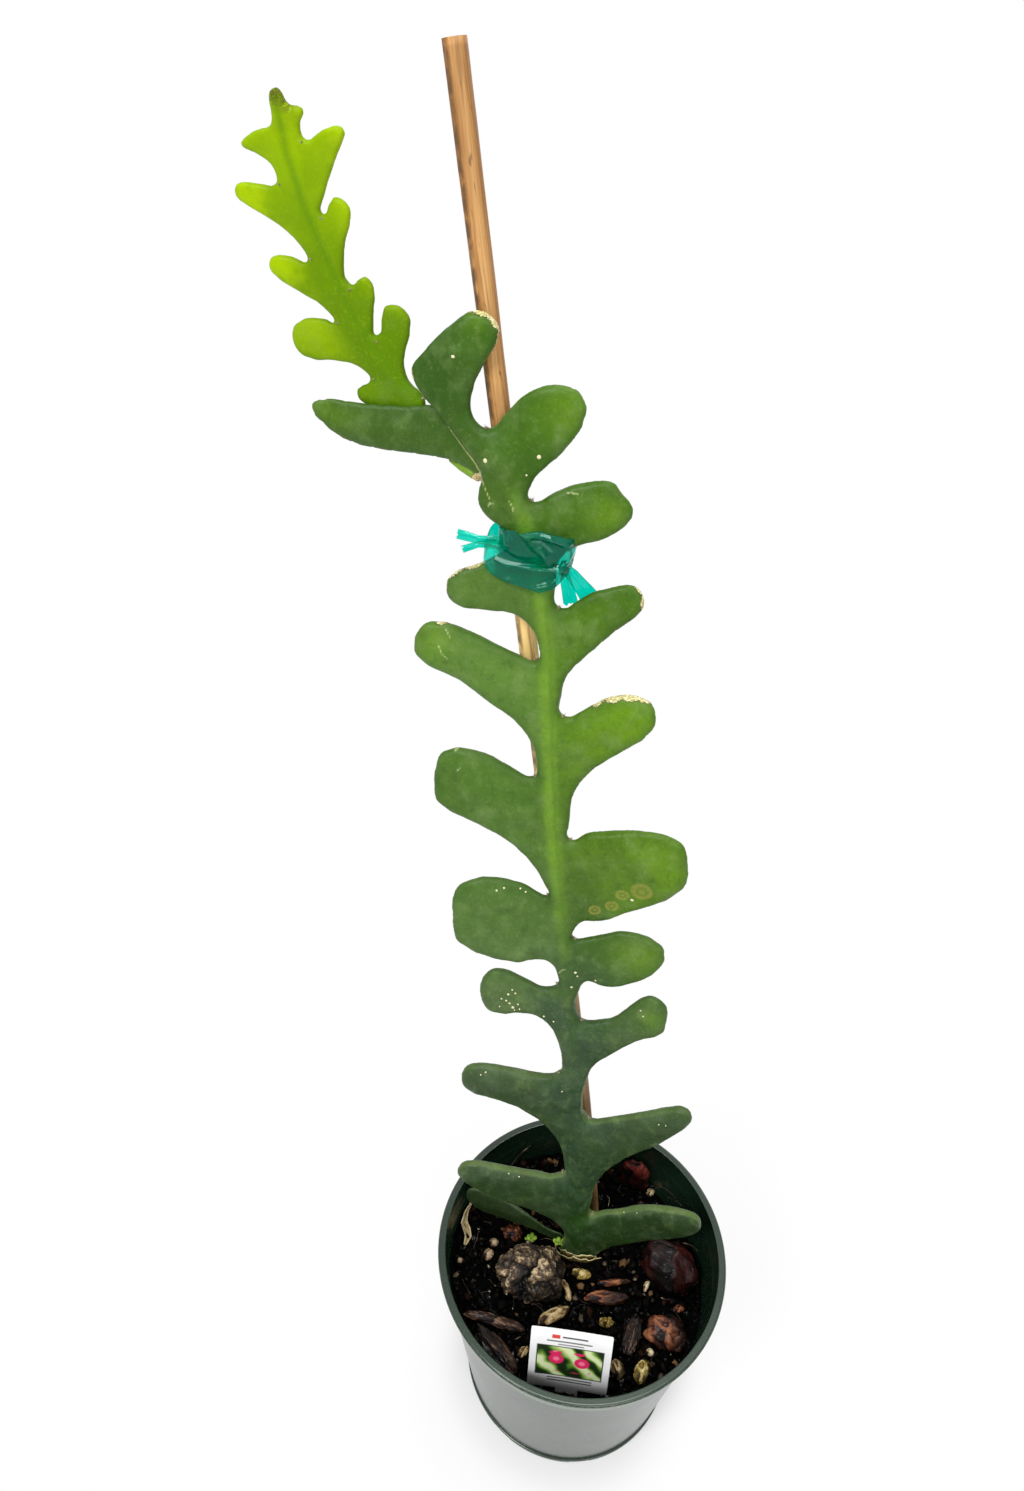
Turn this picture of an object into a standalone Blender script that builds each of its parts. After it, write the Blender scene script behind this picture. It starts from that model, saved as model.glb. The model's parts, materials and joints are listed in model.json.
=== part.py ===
"""Potted fishbone cactus: one flat, deeply lobed stem with a young shoot at its top and a low one at
its foot, tied to a leaning cane in a round nursery pot of bark mix, with a blank plant label.

The origin is the centre of the pot's underside, +Z is up and the stem's flat face looks along -Y.
Lengths are written in millimetres and scaled by MM when a mesh is made.
"""
import math
from collections import namedtuple

import bmesh
import bpy
import numpy as np
from mathutils import Matrix, Vector, noise
from mathutils.geometry import delaunay_2d_cdt

MM = 0.001
GAP = 0.3                     # clearance between pieces that touch

# Pot: a turned, thin-walled nursery pot with a flat lip round a short upright band
POT_HEIGHT = 142.0
BASE_RADIUS = 64.0
WALL_RADIUS = 77.5            # outside, where the wall meets the band
BAND_HEIGHT = 14.0
BAND_STEP = 2.0
LIP_RADIUS = 82.0
LIP_THICKNESS = 2.0
WALL = 1.4
FLOOR = 1.8
DRAIN_HOLES = 6
DRAIN_HOLE_RADIUS = 5.0
DRAIN_RING_RADIUS = 46.0
FOOT_NOTCHES = 8
FOOT_NOTCH_SIZE = (12.0, 5.0, 3.0)
POT_STEPS = 64

# Potting mix: its top is a plane, higher on the left and at the front
SOIL_LEVEL = 112.0            # at the pot's centre
SOIL_SLOPE_X = -0.11
SOIL_SLOPE_Y = -0.06

# Cane: a straight round rod
CANE_RADIUS = 4.0
CANE_AT_SOIL = Vector((5.8, 38.0, 113.0))
CANE_TOP = Vector((-93.6, 90.0, 702.0))
CANE_BURIED = 92.0

# The stem's flat face: it rises from the foot, leans back against the cane and straightens near the top
FOOT_Y = 8.0
FOOT_Z = 114.0
LEAN = math.radians(8.07)
STRAIGHTENS_AT = 390.0
STRAIGHTENING_RADIUS = 1700.0
LOBE_CUP = 3.0                # how far a lobe's end reaches forward, at CUP_REACH from the midrib
CUP_REACH = 60.0
LOBE_ROCK = 0.04              # how much the lobes rock, one against the next
ROCK_LENGTH = 31.0
ROCK_START = 0.6

# Stem thickness, as half thicknesses
RIM_HALF = 0.4
BLADE_HALF = 1.7
MIDRIB_HALF = 3.7             # at the foot
MIDRIB_TOP_HALF = 2.3
MIDRIB_WIDTH = 5.5
RIM_INSET = 1.5
SAMPLE_STEP = 13.0            # spacing of the points inside a blade's outline
ARC_STEP = math.radians(30)   # turn between the points round a lobe's end

# The midrib of the main stem and of the young stem: across and up the stem's face
MAIN_MIDRIB = [(0, -40), (0, 0), (-4, 50), (-7, 90), (-12, 125), (-17, 155), (-22, 190), (-26, 215),
               (-31, 250), (-36, 280), (-40, 305), (-43, 330), (-46, 360), (-49, 390), (-53, 415),
               (-58, 435), (-65, 452), (-74, 468), (-82, 482), (-88, 495), (-90, 515)]
YOUNG_MIDRIB = [(-104, 480), (-117, 492), (-130, 508), (-138, 525), (-145, 543), (-149, 560), (-151, 576)]

# The pocket in the mix that holds the stem's foot, in the stem face's across, up and lift
STEM_POCKET_TOP = 8.0
STEM_POCKET_BOTTOM = -34.5
STEM_POCKET_HALF_TOP = 13.6
STEM_POCKET_HALF_BOTTOM = 7.4
STEM_POCKET_HALF_DEPTH = 4.6

# A lobe of a stem's edge, read from below upwards: points along its underside, the circles of its
# rounded end as (across, up, radius), points along its top edge, and the notch above it.
Lobe = namedtuple("Lobe", "under ends top notch")

MAIN_RIGHT = [
    Lobe([(5.5, -32), (8.5, -18), (10.8, -5), (14, 9), (24, 20), (40, 30)],
         [(51.5, 50.5, 12)], [(41, 60), (28, 54), (17, 46.5), (8, 43)], (3, 39.5)),
    Lobe([(1.5, 50), (2.5, 67), (9, 84.5), (21, 102), (32.5, 115)],
         [(39.5, 139, 6.5)], [(34, 142), (23, 134.5), (11, 126.5), (2, 121)], (-6.5, 118)),
    Lobe([(-11, 130), (-10, 150), (-7, 161), (0, 170.5), (11, 183)],
         [(15, 195, 9.5), (15.5, 203.5, 9)], [(5, 202), (-2, 193.5), (-9, 190.5)], (-17, 189)),
    Lobe([(-20.5, 197), (-20, 208), (-16.5, 216), (-8, 214.5), (1, 217)],
         [(5.3, 238, 13.1)], [(-3, 249.2), (-11, 245.4), (-19, 242.1)], (-25.5, 240.5)),
    Lobe([(-25.5, 247), (-21.5, 253), (-13, 255), (-2.5, 262.5)],
         [(10, 288.8, 12), (9.2, 299.6, 11.3)], [(-3, 309.3), (-15, 306), (-25, 302.5)], (-32, 297.5)),
    Lobe([(-33, 308), (-33, 320.5), (-27.5, 334), (-17, 345.5)],
         [(-12.3, 364.7, 10.5)], [(-21, 372.2), (-30, 366)], (-40.5, 360)),
    Lobe([(-42, 369), (-40, 380), (-31, 392), (-23, 401.5)],
         [(-20, 414.6, 7.2)], [(-28, 418.7), (-36, 414.8)], (-46, 408)),
    Lobe([(-48, 418), (-47, 429), (-40, 435.5), (-31, 439)],
         [(-28.8, 449.8, 7.6), (-31, 457.6, 3.6)], [(-42, 459), (-52, 453.9)], (-60, 450)),
    Lobe([(-60.5, 456.5), (-55.5, 463.5), (-49, 470.5)],
         [(-51.3, 484.7, 9.9)], [(-61.5, 491.2), (-69.5, 483.5)], (-77.5, 475.5)),
    Lobe([(-83, 479), (-84, 487), (-79.5, 499)],
         [(-82, 508, 8), (-100.5, 493.5, 5.6)], [(-97, 480.5), (-88.5, 471)], (-79, 459.5)),
]
MAIN_LEFT = [
    Lobe([(-5.5, -32), (-8, -18), (-9, -4), (-9.5, 7), (-11, 21), (-21.5, 32.5), (-42, 40), (-61, 47)],
         [(-68.3, 61.5, 7)], [(-58, 68.5), (-40, 67)], (-16, 70)),
    Lobe([(-16, 79), (-19, 91.5), (-25.5, 103.5), (-39.5, 114.5), (-55, 120)],
         [(-65, 133, 11.5)], [(-50, 143.8), (-37, 143.3)], (-24.5, 149.5)),
    Lobe([(-24, 158), (-27, 171.5), (-33.5, 184), (-42.5, 189)],
         [(-56, 197.5, 12.3), (-56, 203.2, 12.6)], [(-44, 209), (-37, 206.6)], (-30.5, 210)),
    Lobe([(-31, 217.5), (-35.5, 224.5), (-43, 225), (-52, 221.5)],
         [(-62.6, 241.2, 20.3), (-65.3, 253.8, 18.9)], [(-53, 269.4), (-45, 265.6)], (-39, 264)),
    Lobe([(-42, 272), (-48, 281.5), (-60, 292), (-74, 298.5)],
         [(-82.5, 313.2, 12.6), (-81.8, 325.8, 12.6)], [(-73, 335.6), (-62, 331.1)], (-50, 328)),
    Lobe([(-49.5, 333), (-51.5, 343), (-61, 355.5), (-74, 363.5), (-85.5, 371.5)],
         [(-91.8, 386.4, 12)], [(-80, 393.4), (-72, 390), (-61, 385.8)], (-53, 384)),
    Lobe([(-53, 392), (-56.5, 399), (-64, 404), (-73.5, 404.5)],
         [(-82.8, 412.8, 8.4)], [(-77.5, 424), (-70, 429)], (-66, 434.5)),
    Lobe([(-70, 439), (-76, 442.5), (-79.7, 447.5)], [], [(-80, 452)], (-79, 456)),
]
YOUNG_RIGHT = [
    Lobe([(-103.5, 482), (-110, 488), (-111.5, 494.5)], [(-114.5, 507.5, 6)], [], (-122, 502)),
    Lobe([(-123, 507.5)], [(-126.5, 517.5, 4.5)], [], (-131, 518.5)),
    Lobe([(-132.7, 529)], [(-133.3, 542, 4.4)], [], (-139.5, 540.5)),
    Lobe([(-137.7, 547.3), (-133.5, 556.2)], [(-130.1, 565.8, 1.9)], [(-136, 566)], (-142.5, 563)),
    Lobe([(-143.5, 568)], [(-143.3, 571, 1.5)], [], (-147, 573)),
    Lobe([], [(-150.1, 574, 3)], [(-153, 569)], (-154, 566.5)),
]
YOUNG_LEFT = [
    Lobe([(-105, 476.5), (-114, 475.5), (-121, 476.5)], [(-126, 481.5, 4)], [], (-124.5, 486.5)),
    Lobe([(-127.5, 490), (-134, 492)], [(-148.5, 498.5, 7)], [(-142, 506)], (-138, 505)),
    Lobe([(-141.5, 510), (-150.5, 514.5)], [(-158.5, 522.5, 3.5)], [(-152.5, 526)], (-146.5, 525)),
    Lobe([(-148.5, 530), (-156.5, 536.5)], [(-168.5, 545.5, 3)], [(-162, 548.5)], (-155, 549)),
    Lobe([(-155, 553.5), (-158.5, 557)], [(-164.5, 560.5, 1.3)], [(-160, 564.5)], (-154.5, 566)),
]
# The third wing's one long lobe, behind the main blade, and the low shoot behind the stem's foot
WING_OUTLINE = [(-70, 455), (-76, 454), (-81, 457), (-90, 460.9), (-103, 462), (-121, 461.9),
                (-136, 464.3), (-144, 469.3), (-148, 475), (-145, 477.6), (-129, 478.5), (-111, 479.3),
                (-98, 481), (-89, 481), (-80, 473), (-71, 468)]
BASAL_OUTLINE = [(-11, 1.2), (-21, 2.6), (-33, 5.5), (-49, 8), (-62, 10), (-70, 15), (-72.5, 21.5),
                 (-70, 27.5), (-58.5, 28), (-46, 24.5), (-33, 17), (-21, 9.5), (-12, 7)]

# Tie: a strip of soft plastic tape round stem and cane, in the stem face's across, up and lift
TAPE_HALF = 0.4
TIE_CENTRE = -60.0
TIE_HALF_WIDTH = 17.0
TIE_FRONT = -4.5
TIE_BACK = 13.4
TIE_SQUARENESS = 5.0
TIE_STEPS = 40
TIE_ROWS = 3
TIE_LOW, TIE_LOW_SIDE, TIE_LOW_FRONT = 421.8, -5.6, -7.6
TIE_HIGH, TIE_HIGH_SIDE, TIE_HIGH_FRONT = 433.5, -3.5, 4.5
KNOT_AT = (-43.2, 424.0, -2.0)
KNOT_SIZE = (3.4, 3.8, 3.0)
TAIL_STEPS = 4
TAILS = {                     # route as (across, up, lift) points, and the width at each
    "tail_left": ([(-74, 431, -1.5), (-80, 431.6, -3), (-88, 432.4, -4)], [4, 4, 6.5]),
    "tail_right_upper": ([(-44, 424, 0.5), (-40, 419.5, 3), (-33, 413, 4.5)], [3, 4.5, 6]),
    "tail_right_lower": ([(-45.5, 423, -1), (-44, 417, 2.6), (-41, 409.5, 4)], [3, 3.5, 4]),
}

# Label: a thin plastic tag with a short tail in the mix, leaning back from the pot's front wall
LABEL_HALF = 0.35
LABEL_AT_SOIL = Vector((3.0, -66.6, 115.0))
LABEL_UP = Vector((-0.057, 0.225, 0.972)).normalized()
LABEL_RIGHT = Vector((1.0, 0.08, 0.04)).normalized()
LABEL_WIDTH = 43.5
LABEL_HEIGHT = 45.7
LABEL_FOOT = 2.5              # how far the wide part stands clear of the mix
LABEL_TAIL_WIDTH = 12.0
LABEL_TAIL = 12.0

# Loose pieces on the mix: name, (x, y), (length, width, height), turn in degrees, roughness, detail
Chip = namedtuple("Chip", "name at size turn rough detail material")
CHIPS = [
    Chip("bark_nugget_grey", (-27, -12), (44, 36, 23), 20, 0.16, 3, "bark_grey"),
    Chip("bark_chunk_right", (52, 13), (40, 33, 20), -20, 0.14, 3, "bark_red"),
    Chip("bark_chip_front_right", (54, -23.5), (27, 21, 9.5), -8, 0.13, 3, "bark_red"),
    Chip("bark_chip_back", (25.5, 63.7), (25, 9, 25), -12, 0.12, 2, "bark_red"),
    Chip("bark_chunk_left", (-37.5, -57), (36, 14, 9), -33, 0.14, 3, "bark_brown"),
    Chip("bark_slab_left", (-41, -41.5), (40, 7.5, 4.5), 0, 0.08, 2, "bark_brown"),
    Chip("bark_sliver_tan", (21.5, -2.5), (24, 3.6, 3.2), 19, 0.08, 2, "bark_tan"),
    Chip("bark_sliver_brown", (19, -12.5), (30, 9, 5), 14, 0.1, 2, "bark_brown"),
    Chip("twig_thin", (-5, -14.5), (14, 4.8, 3.8), -60, 0.08, 2, "bark_tan"),
    Chip("twig_flat", (-10, -30), (24, 8, 4.8), 38, 0.1, 2, "bark_tan"),
    Chip("wood_bit_yellow", (2, -3), (14, 6.5, 5), 6, 0.1, 2, "bark_tan"),
    Chip("wood_lump_red", (-42, 10), (15, 11, 7), 30, 0.14, 2, "bark_red"),
    Chip("dead_leaf", (-67, 9), (25, 3.6, 3), 99, 0.06, 2, "dry_leaf"),
    Chip("pebble_left", (-53, -6.5), (8, 6.5, 5), 70, 0.1, 2, "grit"),
    Chip("pebble_left_small", (-51.5, 1.5), (6.5, 5.5, 4), 0, 0.1, 2, "grit"),
    Chip("pebble_edge", (-68.5, -14), (4.5, 4, 3), 20, 0.1, 2, "grit"),
    Chip("pebble_right", (46, -35.5), (5, 4.5, 3.5), 0, 0.1, 2, "grit"),
    Chip("wood_bit_front", (42.5, -47), (16, 9.5, 6), 76, 0.12, 2, "bark_tan"),
    Chip("wood_bit_dark", (29, -49), (11, 7.5, 5), -60, 0.12, 2, "bark_brown"),
    Chip("wood_bit_right", (60.5, -7.5), (8.5, 4.5, 3.5), 25, 0.12, 2, "bark_red"),
    Chip("wood_bit_left", (-23, -53.5), (8.5, 5, 4.5), 60, 0.12, 2, "bark_tan"),
    Chip("wood_strip_dark", (35, -29), (25, 11, 3), 80, 0.06, 2, "bark_brown"),
    Chip("pebble_back", (37.5, 59.5), (6.5, 5, 4.5), 40, 0.1, 2, "grit"),
    Chip("pebble_middle", (20, -26), (9.5, 6.5, 4), 15, 0.1, 2, "grit"),
    Chip("root_bit_pale", (40.5, 0.5), (9, 3.2, 3), 70, 0.08, 2, "dry_leaf"),
]
CHIP_BASE = 0.36              # share of a chip's height below its centre, cut off flat

# Materials: base colour, roughness, metallic
FINISHES = {
    "pot_plastic": ((0.035, 0.062, 0.040), 0.38, 0.0),
    "potting_mix": ((0.012, 0.009, 0.007), 0.90, 0.0),
    "stem_green": ((0.085, 0.170, 0.035), 0.45, 0.0),
    "young_green": ((0.300, 0.460, 0.020), 0.42, 0.0),
    "cane_wood": ((0.560, 0.300, 0.120), 0.55, 0.0),
    "tie_tape": ((0.010, 0.380, 0.270), 0.22, 0.0),
    "label_plastic": ((0.850, 0.850, 0.850), 0.35, 0.0),
    "bark_grey": ((0.210, 0.150, 0.110), 0.80, 0.0),
    "bark_red": ((0.130, 0.035, 0.020), 0.75, 0.0),
    "bark_brown": ((0.060, 0.030, 0.018), 0.80, 0.0),
    "bark_tan": ((0.380, 0.250, 0.110), 0.75, 0.0),
    "dry_leaf": ((0.420, 0.330, 0.210), 0.70, 0.0),
    "grit": ((0.330, 0.240, 0.140), 0.80, 0.0),
}


# ---------------------------------------------------------------- scene and small helpers

def start_scene():
    """Empties the scene and makes one collection for the parts and one for the cutters."""
    for obj in list(bpy.data.objects):
        bpy.data.objects.remove(obj, do_unlink=True)
    collections = []
    for name in ("potted_fishbone_cactus", "cutters"):
        collection = bpy.data.collections.new(name)
        bpy.context.scene.collection.children.link(collection)
        collections.append(collection)
    return collections


def finish(name):
    """The material of that name, made once."""
    material = bpy.data.materials.get(name)
    if material is None:
        colour, roughness, metallic = FINISHES[name]
        material = bpy.data.materials.new(name)
        material.use_nodes = True
        shader = material.node_tree.nodes["Principled BSDF"]
        shader.inputs["Base Color"].default_value = (*colour, 1.0)
        shader.inputs["Roughness"].default_value = roughness
        shader.inputs["Metallic"].default_value = metallic
    return material


def add_part(name, mesh, material_name, smooth_angle=math.radians(40)):
    """Links a mesh as a named part with its material."""
    obj = bpy.data.objects.new(name, mesh)
    PARTS.objects.link(obj)
    mesh.materials.clear()
    mesh.materials.append(finish(material_name))
    mesh.shade_smooth()
    mesh.set_sharp_from_angle(angle=smooth_angle)
    return obj


def add_cutter(name, mesh):
    """Links a mesh as a cutter: seen as wire and left out of the model."""
    obj = bpy.data.objects.new(name, mesh)
    CUTTERS.objects.link(obj)
    obj.hide_render = True
    obj.display_type = "WIRE"
    return obj


def mesh_from_bmesh(name, bm):
    mesh = bpy.data.meshes.new(name)
    bm.to_mesh(mesh)
    bm.free()
    return mesh


def boolean(obj, cutter, operation):
    modifier = obj.modifiers.new(operation.lower() + "_" + cutter.name, "BOOLEAN")
    modifier.operation = operation
    modifier.solver = "EXACT"
    modifier.object = cutter


def turned(name, profile, steps):
    """A Screw modifier turns the profile, a list of (radius, height), round Z."""
    mesh = bpy.data.meshes.new(name)
    points = [(radius * MM, 0.0, height * MM) for radius, height in profile]
    edges = [(i, (i + 1) % len(points)) for i in range(len(points))]
    mesh.from_pydata(points, edges, [])
    obj = bpy.data.objects.new(name, mesh)
    PARTS.objects.link(obj)
    screw = obj.modifiers.new("turn", "SCREW")
    screw.steps = screw.render_steps = steps
    screw.use_merge_vertices = True
    screw.merge_threshold = 0.00001
    return obj


def evaluated_mesh(obj, name):
    """A mesh copy of the object as its modifiers leave it, with doubled points merged."""
    depsgraph = bpy.context.evaluated_depsgraph_get()
    mesh = bpy.data.meshes.new_from_object(obj.evaluated_get(depsgraph))
    mesh.name = name
    bm = bmesh.new()
    bm.from_mesh(mesh)
    bmesh.ops.remove_doubles(bm, verts=bm.verts, dist=0.00001)
    bmesh.ops.recalc_face_normals(bm, faces=bm.faces)
    bm.to_mesh(mesh)
    bm.free()
    return mesh


def rod_mesh(name, points, radii, sides):
    """A round rod through the points, as a bevelled curve with filled caps made into a mesh."""
    curve = bpy.data.curves.new(name, "CURVE")
    curve.dimensions = "3D"
    curve.bevel_depth = MM
    curve.bevel_resolution = sides // 4 - 1
    curve.use_fill_caps = True
    spline = curve.splines.new("POLY")
    spline.points.add(len(points) - 1)
    for item, point, radius in zip(spline.points, points, radii):
        item.co = (*(Vector(point) * MM), 1.0)
        item.radius = radius
    obj = bpy.data.objects.new(name, curve)
    bpy.context.scene.collection.objects.link(obj)
    mesh = evaluated_mesh(obj, name)
    bpy.data.objects.remove(obj)
    return mesh


# ---------------------------------------------------------------- the pot

def inner_wall_radius(height):
    """Inside radius of the pot's tapered wall at a height."""
    taper = (WALL_RADIUS - BASE_RADIUS) / (POT_HEIGHT - BAND_HEIGHT)
    return BASE_RADIUS - WALL + taper * height


def make_pot():
    band_foot = POT_HEIGHT - BAND_HEIGHT
    band_radius = WALL_RADIUS + BAND_STEP
    lip_underside = POT_HEIGHT - LIP_THICKNESS
    wall_top_inside = inner_wall_radius(band_foot)
    outer = [
        (LIP_RADIUS - 0.5, POT_HEIGHT),
        (LIP_RADIUS, POT_HEIGHT - 0.5),
        (LIP_RADIUS, lip_underside + 0.5),
        (LIP_RADIUS - 0.5, lip_underside),
        (band_radius + 0.8, lip_underside - 0.2),
        (band_radius, lip_underside - 1.2),
        (band_radius - 0.3, band_foot + 1.0),
        (WALL_RADIUS, band_foot - 1.0),
        (BASE_RADIUS + 0.4, 4.0),
        (BASE_RADIUS - 0.6, 1.2),
        (BASE_RADIUS - 2.0, 0.0),
        (0.0, 0.0),
    ]
    inner = [
        (0.0, FLOOR),
        (BASE_RADIUS - 4.0, FLOOR),
        (inner_wall_radius(4.0), 4.0),
        (wall_top_inside, band_foot + 0.4),
        (band_radius - WALL - 0.3, band_foot + 1.6),
        (band_radius - WALL + 0.3, POT_HEIGHT - 0.4),
        (band_radius - WALL + 0.7, POT_HEIGHT),
    ]
    pot = turned("pot", outer + inner, POT_STEPS)
    pot.data.materials.append(finish("pot_plastic"))
    mesh = evaluated_mesh(pot, "pot")
    bpy.data.objects.remove(pot)
    pot = add_part("pot", mesh, "pot_plastic", math.radians(30))

    bm = bmesh.new()
    for i in range(DRAIN_HOLES):
        place = Matrix.Rotation(math.tau * i / DRAIN_HOLES, 4, "Z") @ Matrix.Translation(
            (DRAIN_RING_RADIUS * MM, 0, 0))
        bmesh.ops.create_cone(bm, cap_ends=True, segments=16, radius1=DRAIN_HOLE_RADIUS * MM,
                              radius2=DRAIN_HOLE_RADIUS * MM, depth=4 * FLOOR * MM, matrix=place)
    for i in range(FOOT_NOTCHES):
        place = Matrix.Rotation(math.tau * (i + 0.35) / FOOT_NOTCHES, 4, "Z") @ Matrix.Translation(
            ((BASE_RADIUS + 1.2) * MM, 0, 0)) @ Matrix.Diagonal(
            (FOOT_NOTCH_SIZE[1] * MM, FOOT_NOTCH_SIZE[0] * MM, 2 * FOOT_NOTCH_SIZE[2] * MM, 1))
        bmesh.ops.create_cube(bm, size=1.0, matrix=place)
    boolean(pot, add_cutter("pot_openings", mesh_from_bmesh("pot_openings", bm)), "DIFFERENCE")


# ---------------------------------------------------------------- the stem's curved flat face

def face_point(across, up, lift):
    """World point in millimetres: across and up the stem's flat face, lift behind it."""
    straight = min(up, STRAIGHTENS_AT)
    lean = LEAN - max(up - STRAIGHTENS_AT, 0.0) / STRAIGHTENING_RADIUS
    y = FOOT_Y + straight * math.sin(LEAN) + STRAIGHTENING_RADIUS * (math.cos(lean) - math.cos(LEAN))
    z = FOOT_Z + straight * math.cos(LEAN) + STRAIGHTENING_RADIUS * (math.sin(LEAN) - math.sin(lean))
    return Vector((across, y + lift * math.cos(lean), z - lift * math.sin(lean)))


def midrib_across(midrib, up):
    return float(np.interp(up, [p[1] for p in midrib], [p[0] for p in midrib]))


def main_lift(across, up):
    """Lobes reach forward at their ends and rock a little."""
    reach = across - midrib_across(MAIN_MIDRIB, up)
    rock = LOBE_ROCK * reach * math.sin(up / ROCK_LENGTH + ROCK_START)
    return rock - LOBE_CUP * (reach / CUP_REACH) ** 2


def wing_lift(across, up):
    """The third wing's lobe grows out of the blade's back and stands off further at its end."""
    return 2.5 + 0.10 * max(0.0, -80.0 - across) - 0.25 * max(0.0, across + 80.0)


def young_lift(across, up):
    """The young stem starts behind the wing's lobe and arches forward above it."""
    return 7.1 + 0.10 * (-100.0 - across) - 0.0012 * max(0.0, up - 485.0) ** 2


def basal_lift(across, up):
    """The low shoot lies behind the lowest left lobe."""
    return 4.5 + 0.06 * abs(across)


# ---------------------------------------------------------------- outlines and blades

def arc(centre, radius, start, end, steps):
    angles = [start + (end - start) * i / steps for i in range(steps + 1)]
    return [(centre[0] + radius * math.cos(a), centre[1] + radius * math.sin(a)) for a in angles]


def edge_of_lobes(lobes):
    """Points up a stem's right edge, with each lobe's end as arcs between its underside and top."""
    points = []
    for lobe in lobes:
        points += lobe.under
        path = [points[-1]] + [end[:2] for end in lobe.ends] + [(lobe.top + [lobe.notch])[0]]
        for i, (across, up, radius) in enumerate(lobe.ends):
            before, after = path[i], path[i + 2]
            start = math.atan2(up - before[1], across - before[0]) - math.pi / 2
            end = math.atan2(after[1] - up, after[0] - across) - math.pi / 2
            sweep = (end - start) % math.tau
            if sweep > math.radians(300):
                sweep = 0.0
            steps = max(1, round(sweep / ARC_STEP))
            points += arc((across, up), radius, start, start + sweep, steps)
        points += lobe.top + [lobe.notch]
    return points


def mirrored(lobes):
    """The same lobes for the other edge, so that one rule draws both."""
    def flip(points):
        return [(-p[0], *p[1:]) for p in points]
    return [Lobe(flip(l.under), flip(l.ends), flip(l.top), flip([l.notch])[0]) for l in lobes]


def stem_outline(right, left):
    """Closed outline, anticlockwise: up the right edge and down the left one."""
    down_left = [(-x, up) for x, up in reversed(edge_of_lobes(mirrored(left)))]
    return edge_of_lobes(right) + down_left


def smoothed(points, resolution):
    """A closed smooth curve through the points."""
    curve = bpy.data.curves.new("outline", "CURVE")
    curve.dimensions = "2D"
    curve.fill_mode = "NONE"
    curve.resolution_u = resolution
    spline = curve.splines.new("BEZIER")
    spline.use_cyclic_u = True
    spline.bezier_points.add(len(points) - 1)
    for item, (x, y) in zip(spline.bezier_points, points):
        item.co = (x, y, 0.0)
        item.handle_left_type = item.handle_right_type = "AUTO"
    obj = bpy.data.objects.new("outline", curve)
    bpy.context.scene.collection.objects.link(obj)
    depsgraph = bpy.context.evaluated_depsgraph_get()
    mesh = bpy.data.meshes.new_from_object(obj.evaluated_get(depsgraph))
    result = np.array([v.co[:2] for v in mesh.vertices])
    bpy.data.meshes.remove(mesh)
    bpy.data.objects.remove(obj)
    return result


def distance_to_outline(points, outline):
    """Shortest distance from each point to the closed outline, negative outside it."""
    start, end = outline, np.roll(outline, -1, axis=0)
    span = end - start
    result = np.empty(len(points))
    for i, point in enumerate(points):
        share = np.clip(((point - start) * span).sum(1) / (span ** 2).sum(1), 0.0, 1.0)
        nearest = np.hypot(*(start + share[:, None] * span - point).T).min()
        above = (start[:, 1] > point[1]) != (end[:, 1] > point[1])
        crossing = start[:, 0] + (point[1] - start[:, 1]) / np.where(above, span[:, 1], 1.0) * span[:, 0]
        inside = np.count_nonzero(above & (crossing > point[0])) % 2
        result[i] = nearest if inside else -nearest
    return result


def inner_points(outline, midrib, inset):
    """Points inside an outline: one row just inside it, rows along the midrib, and a sparse grid."""
    tangent = np.roll(outline, -1, axis=0) - np.roll(outline, 1, axis=0)
    tangent /= np.hypot(*tangent.T)[:, None]
    ring = outline + inset * np.stack([-tangent[:, 1], tangent[:, 0]], axis=1)
    ring = ring[distance_to_outline(ring, outline) > 0.9 * inset]

    low, high = outline.min(0), outline.max(0)
    rows = np.arange(low[1] + 3.0, high[1], SAMPLE_STEP)
    sides = (-MIDRIB_WIDTH, 0.0, MIDRIB_WIDTH)
    rib = np.array([(midrib_across(midrib, up) + side, up) for up in rows for side in sides])
    rib = rib[distance_to_outline(rib, outline) > 2.0 * inset]

    grid = np.array([(x, y) for y in rows for x in np.arange(low[0], high[0], SAMPLE_STEP)])
    off_rib = np.array([abs(x - midrib_across(midrib, y)) > 1.8 * MIDRIB_WIDTH for x, y in grid])
    grid = grid[off_rib & (distance_to_outline(grid, outline) > 3.0 * inset)]
    return np.concatenate([ring, rib, grid])


def blade_mesh(name, outline_points, midrib, lift, half_thickness, resolution, inset):
    """A fleshy blade: the outline is filled with triangles on the stem's face, then Solidify gives it
    a thickness that is least at the rim and most along the midrib."""
    outline = smoothed(outline_points, resolution)
    points = np.concatenate([outline, inner_points(outline, midrib, inset)])
    verts, _, faces, _, _, _ = delaunay_2d_cdt(
        [Vector(p) for p in points], [], [list(range(len(outline)))], 1, 0.001)
    depth = distance_to_outline(np.array([tuple(v) for v in verts]), outline)

    mesh = bpy.data.meshes.new(name)
    placed = [face_point(x, y, lift(x, y)) * MM for x, y in verts]
    mesh.from_pydata(placed, [], [tuple(face) for face in faces])
    obj = bpy.data.objects.new(name, mesh)
    bpy.context.scene.collection.objects.link(obj)

    thickest = max(half_thickness(x, y) for x, y in verts)
    group = obj.vertex_groups.new(name="thickness")
    for i, (x, y) in enumerate(verts):
        full = half_thickness(x, y)
        half = RIM_HALF if depth[i] < 0.2 * inset else full * min(1.0, 0.7 + 0.15 * depth[i] / inset)
        group.add([i], half / thickest, "REPLACE")
    solidify = obj.modifiers.new("flesh", "SOLIDIFY")
    solidify.thickness = 2 * thickest * MM
    solidify.offset = 0.0
    solidify.vertex_group = group.name
    solid = evaluated_mesh(obj, name)
    bpy.data.objects.remove(obj)
    return solid


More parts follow.
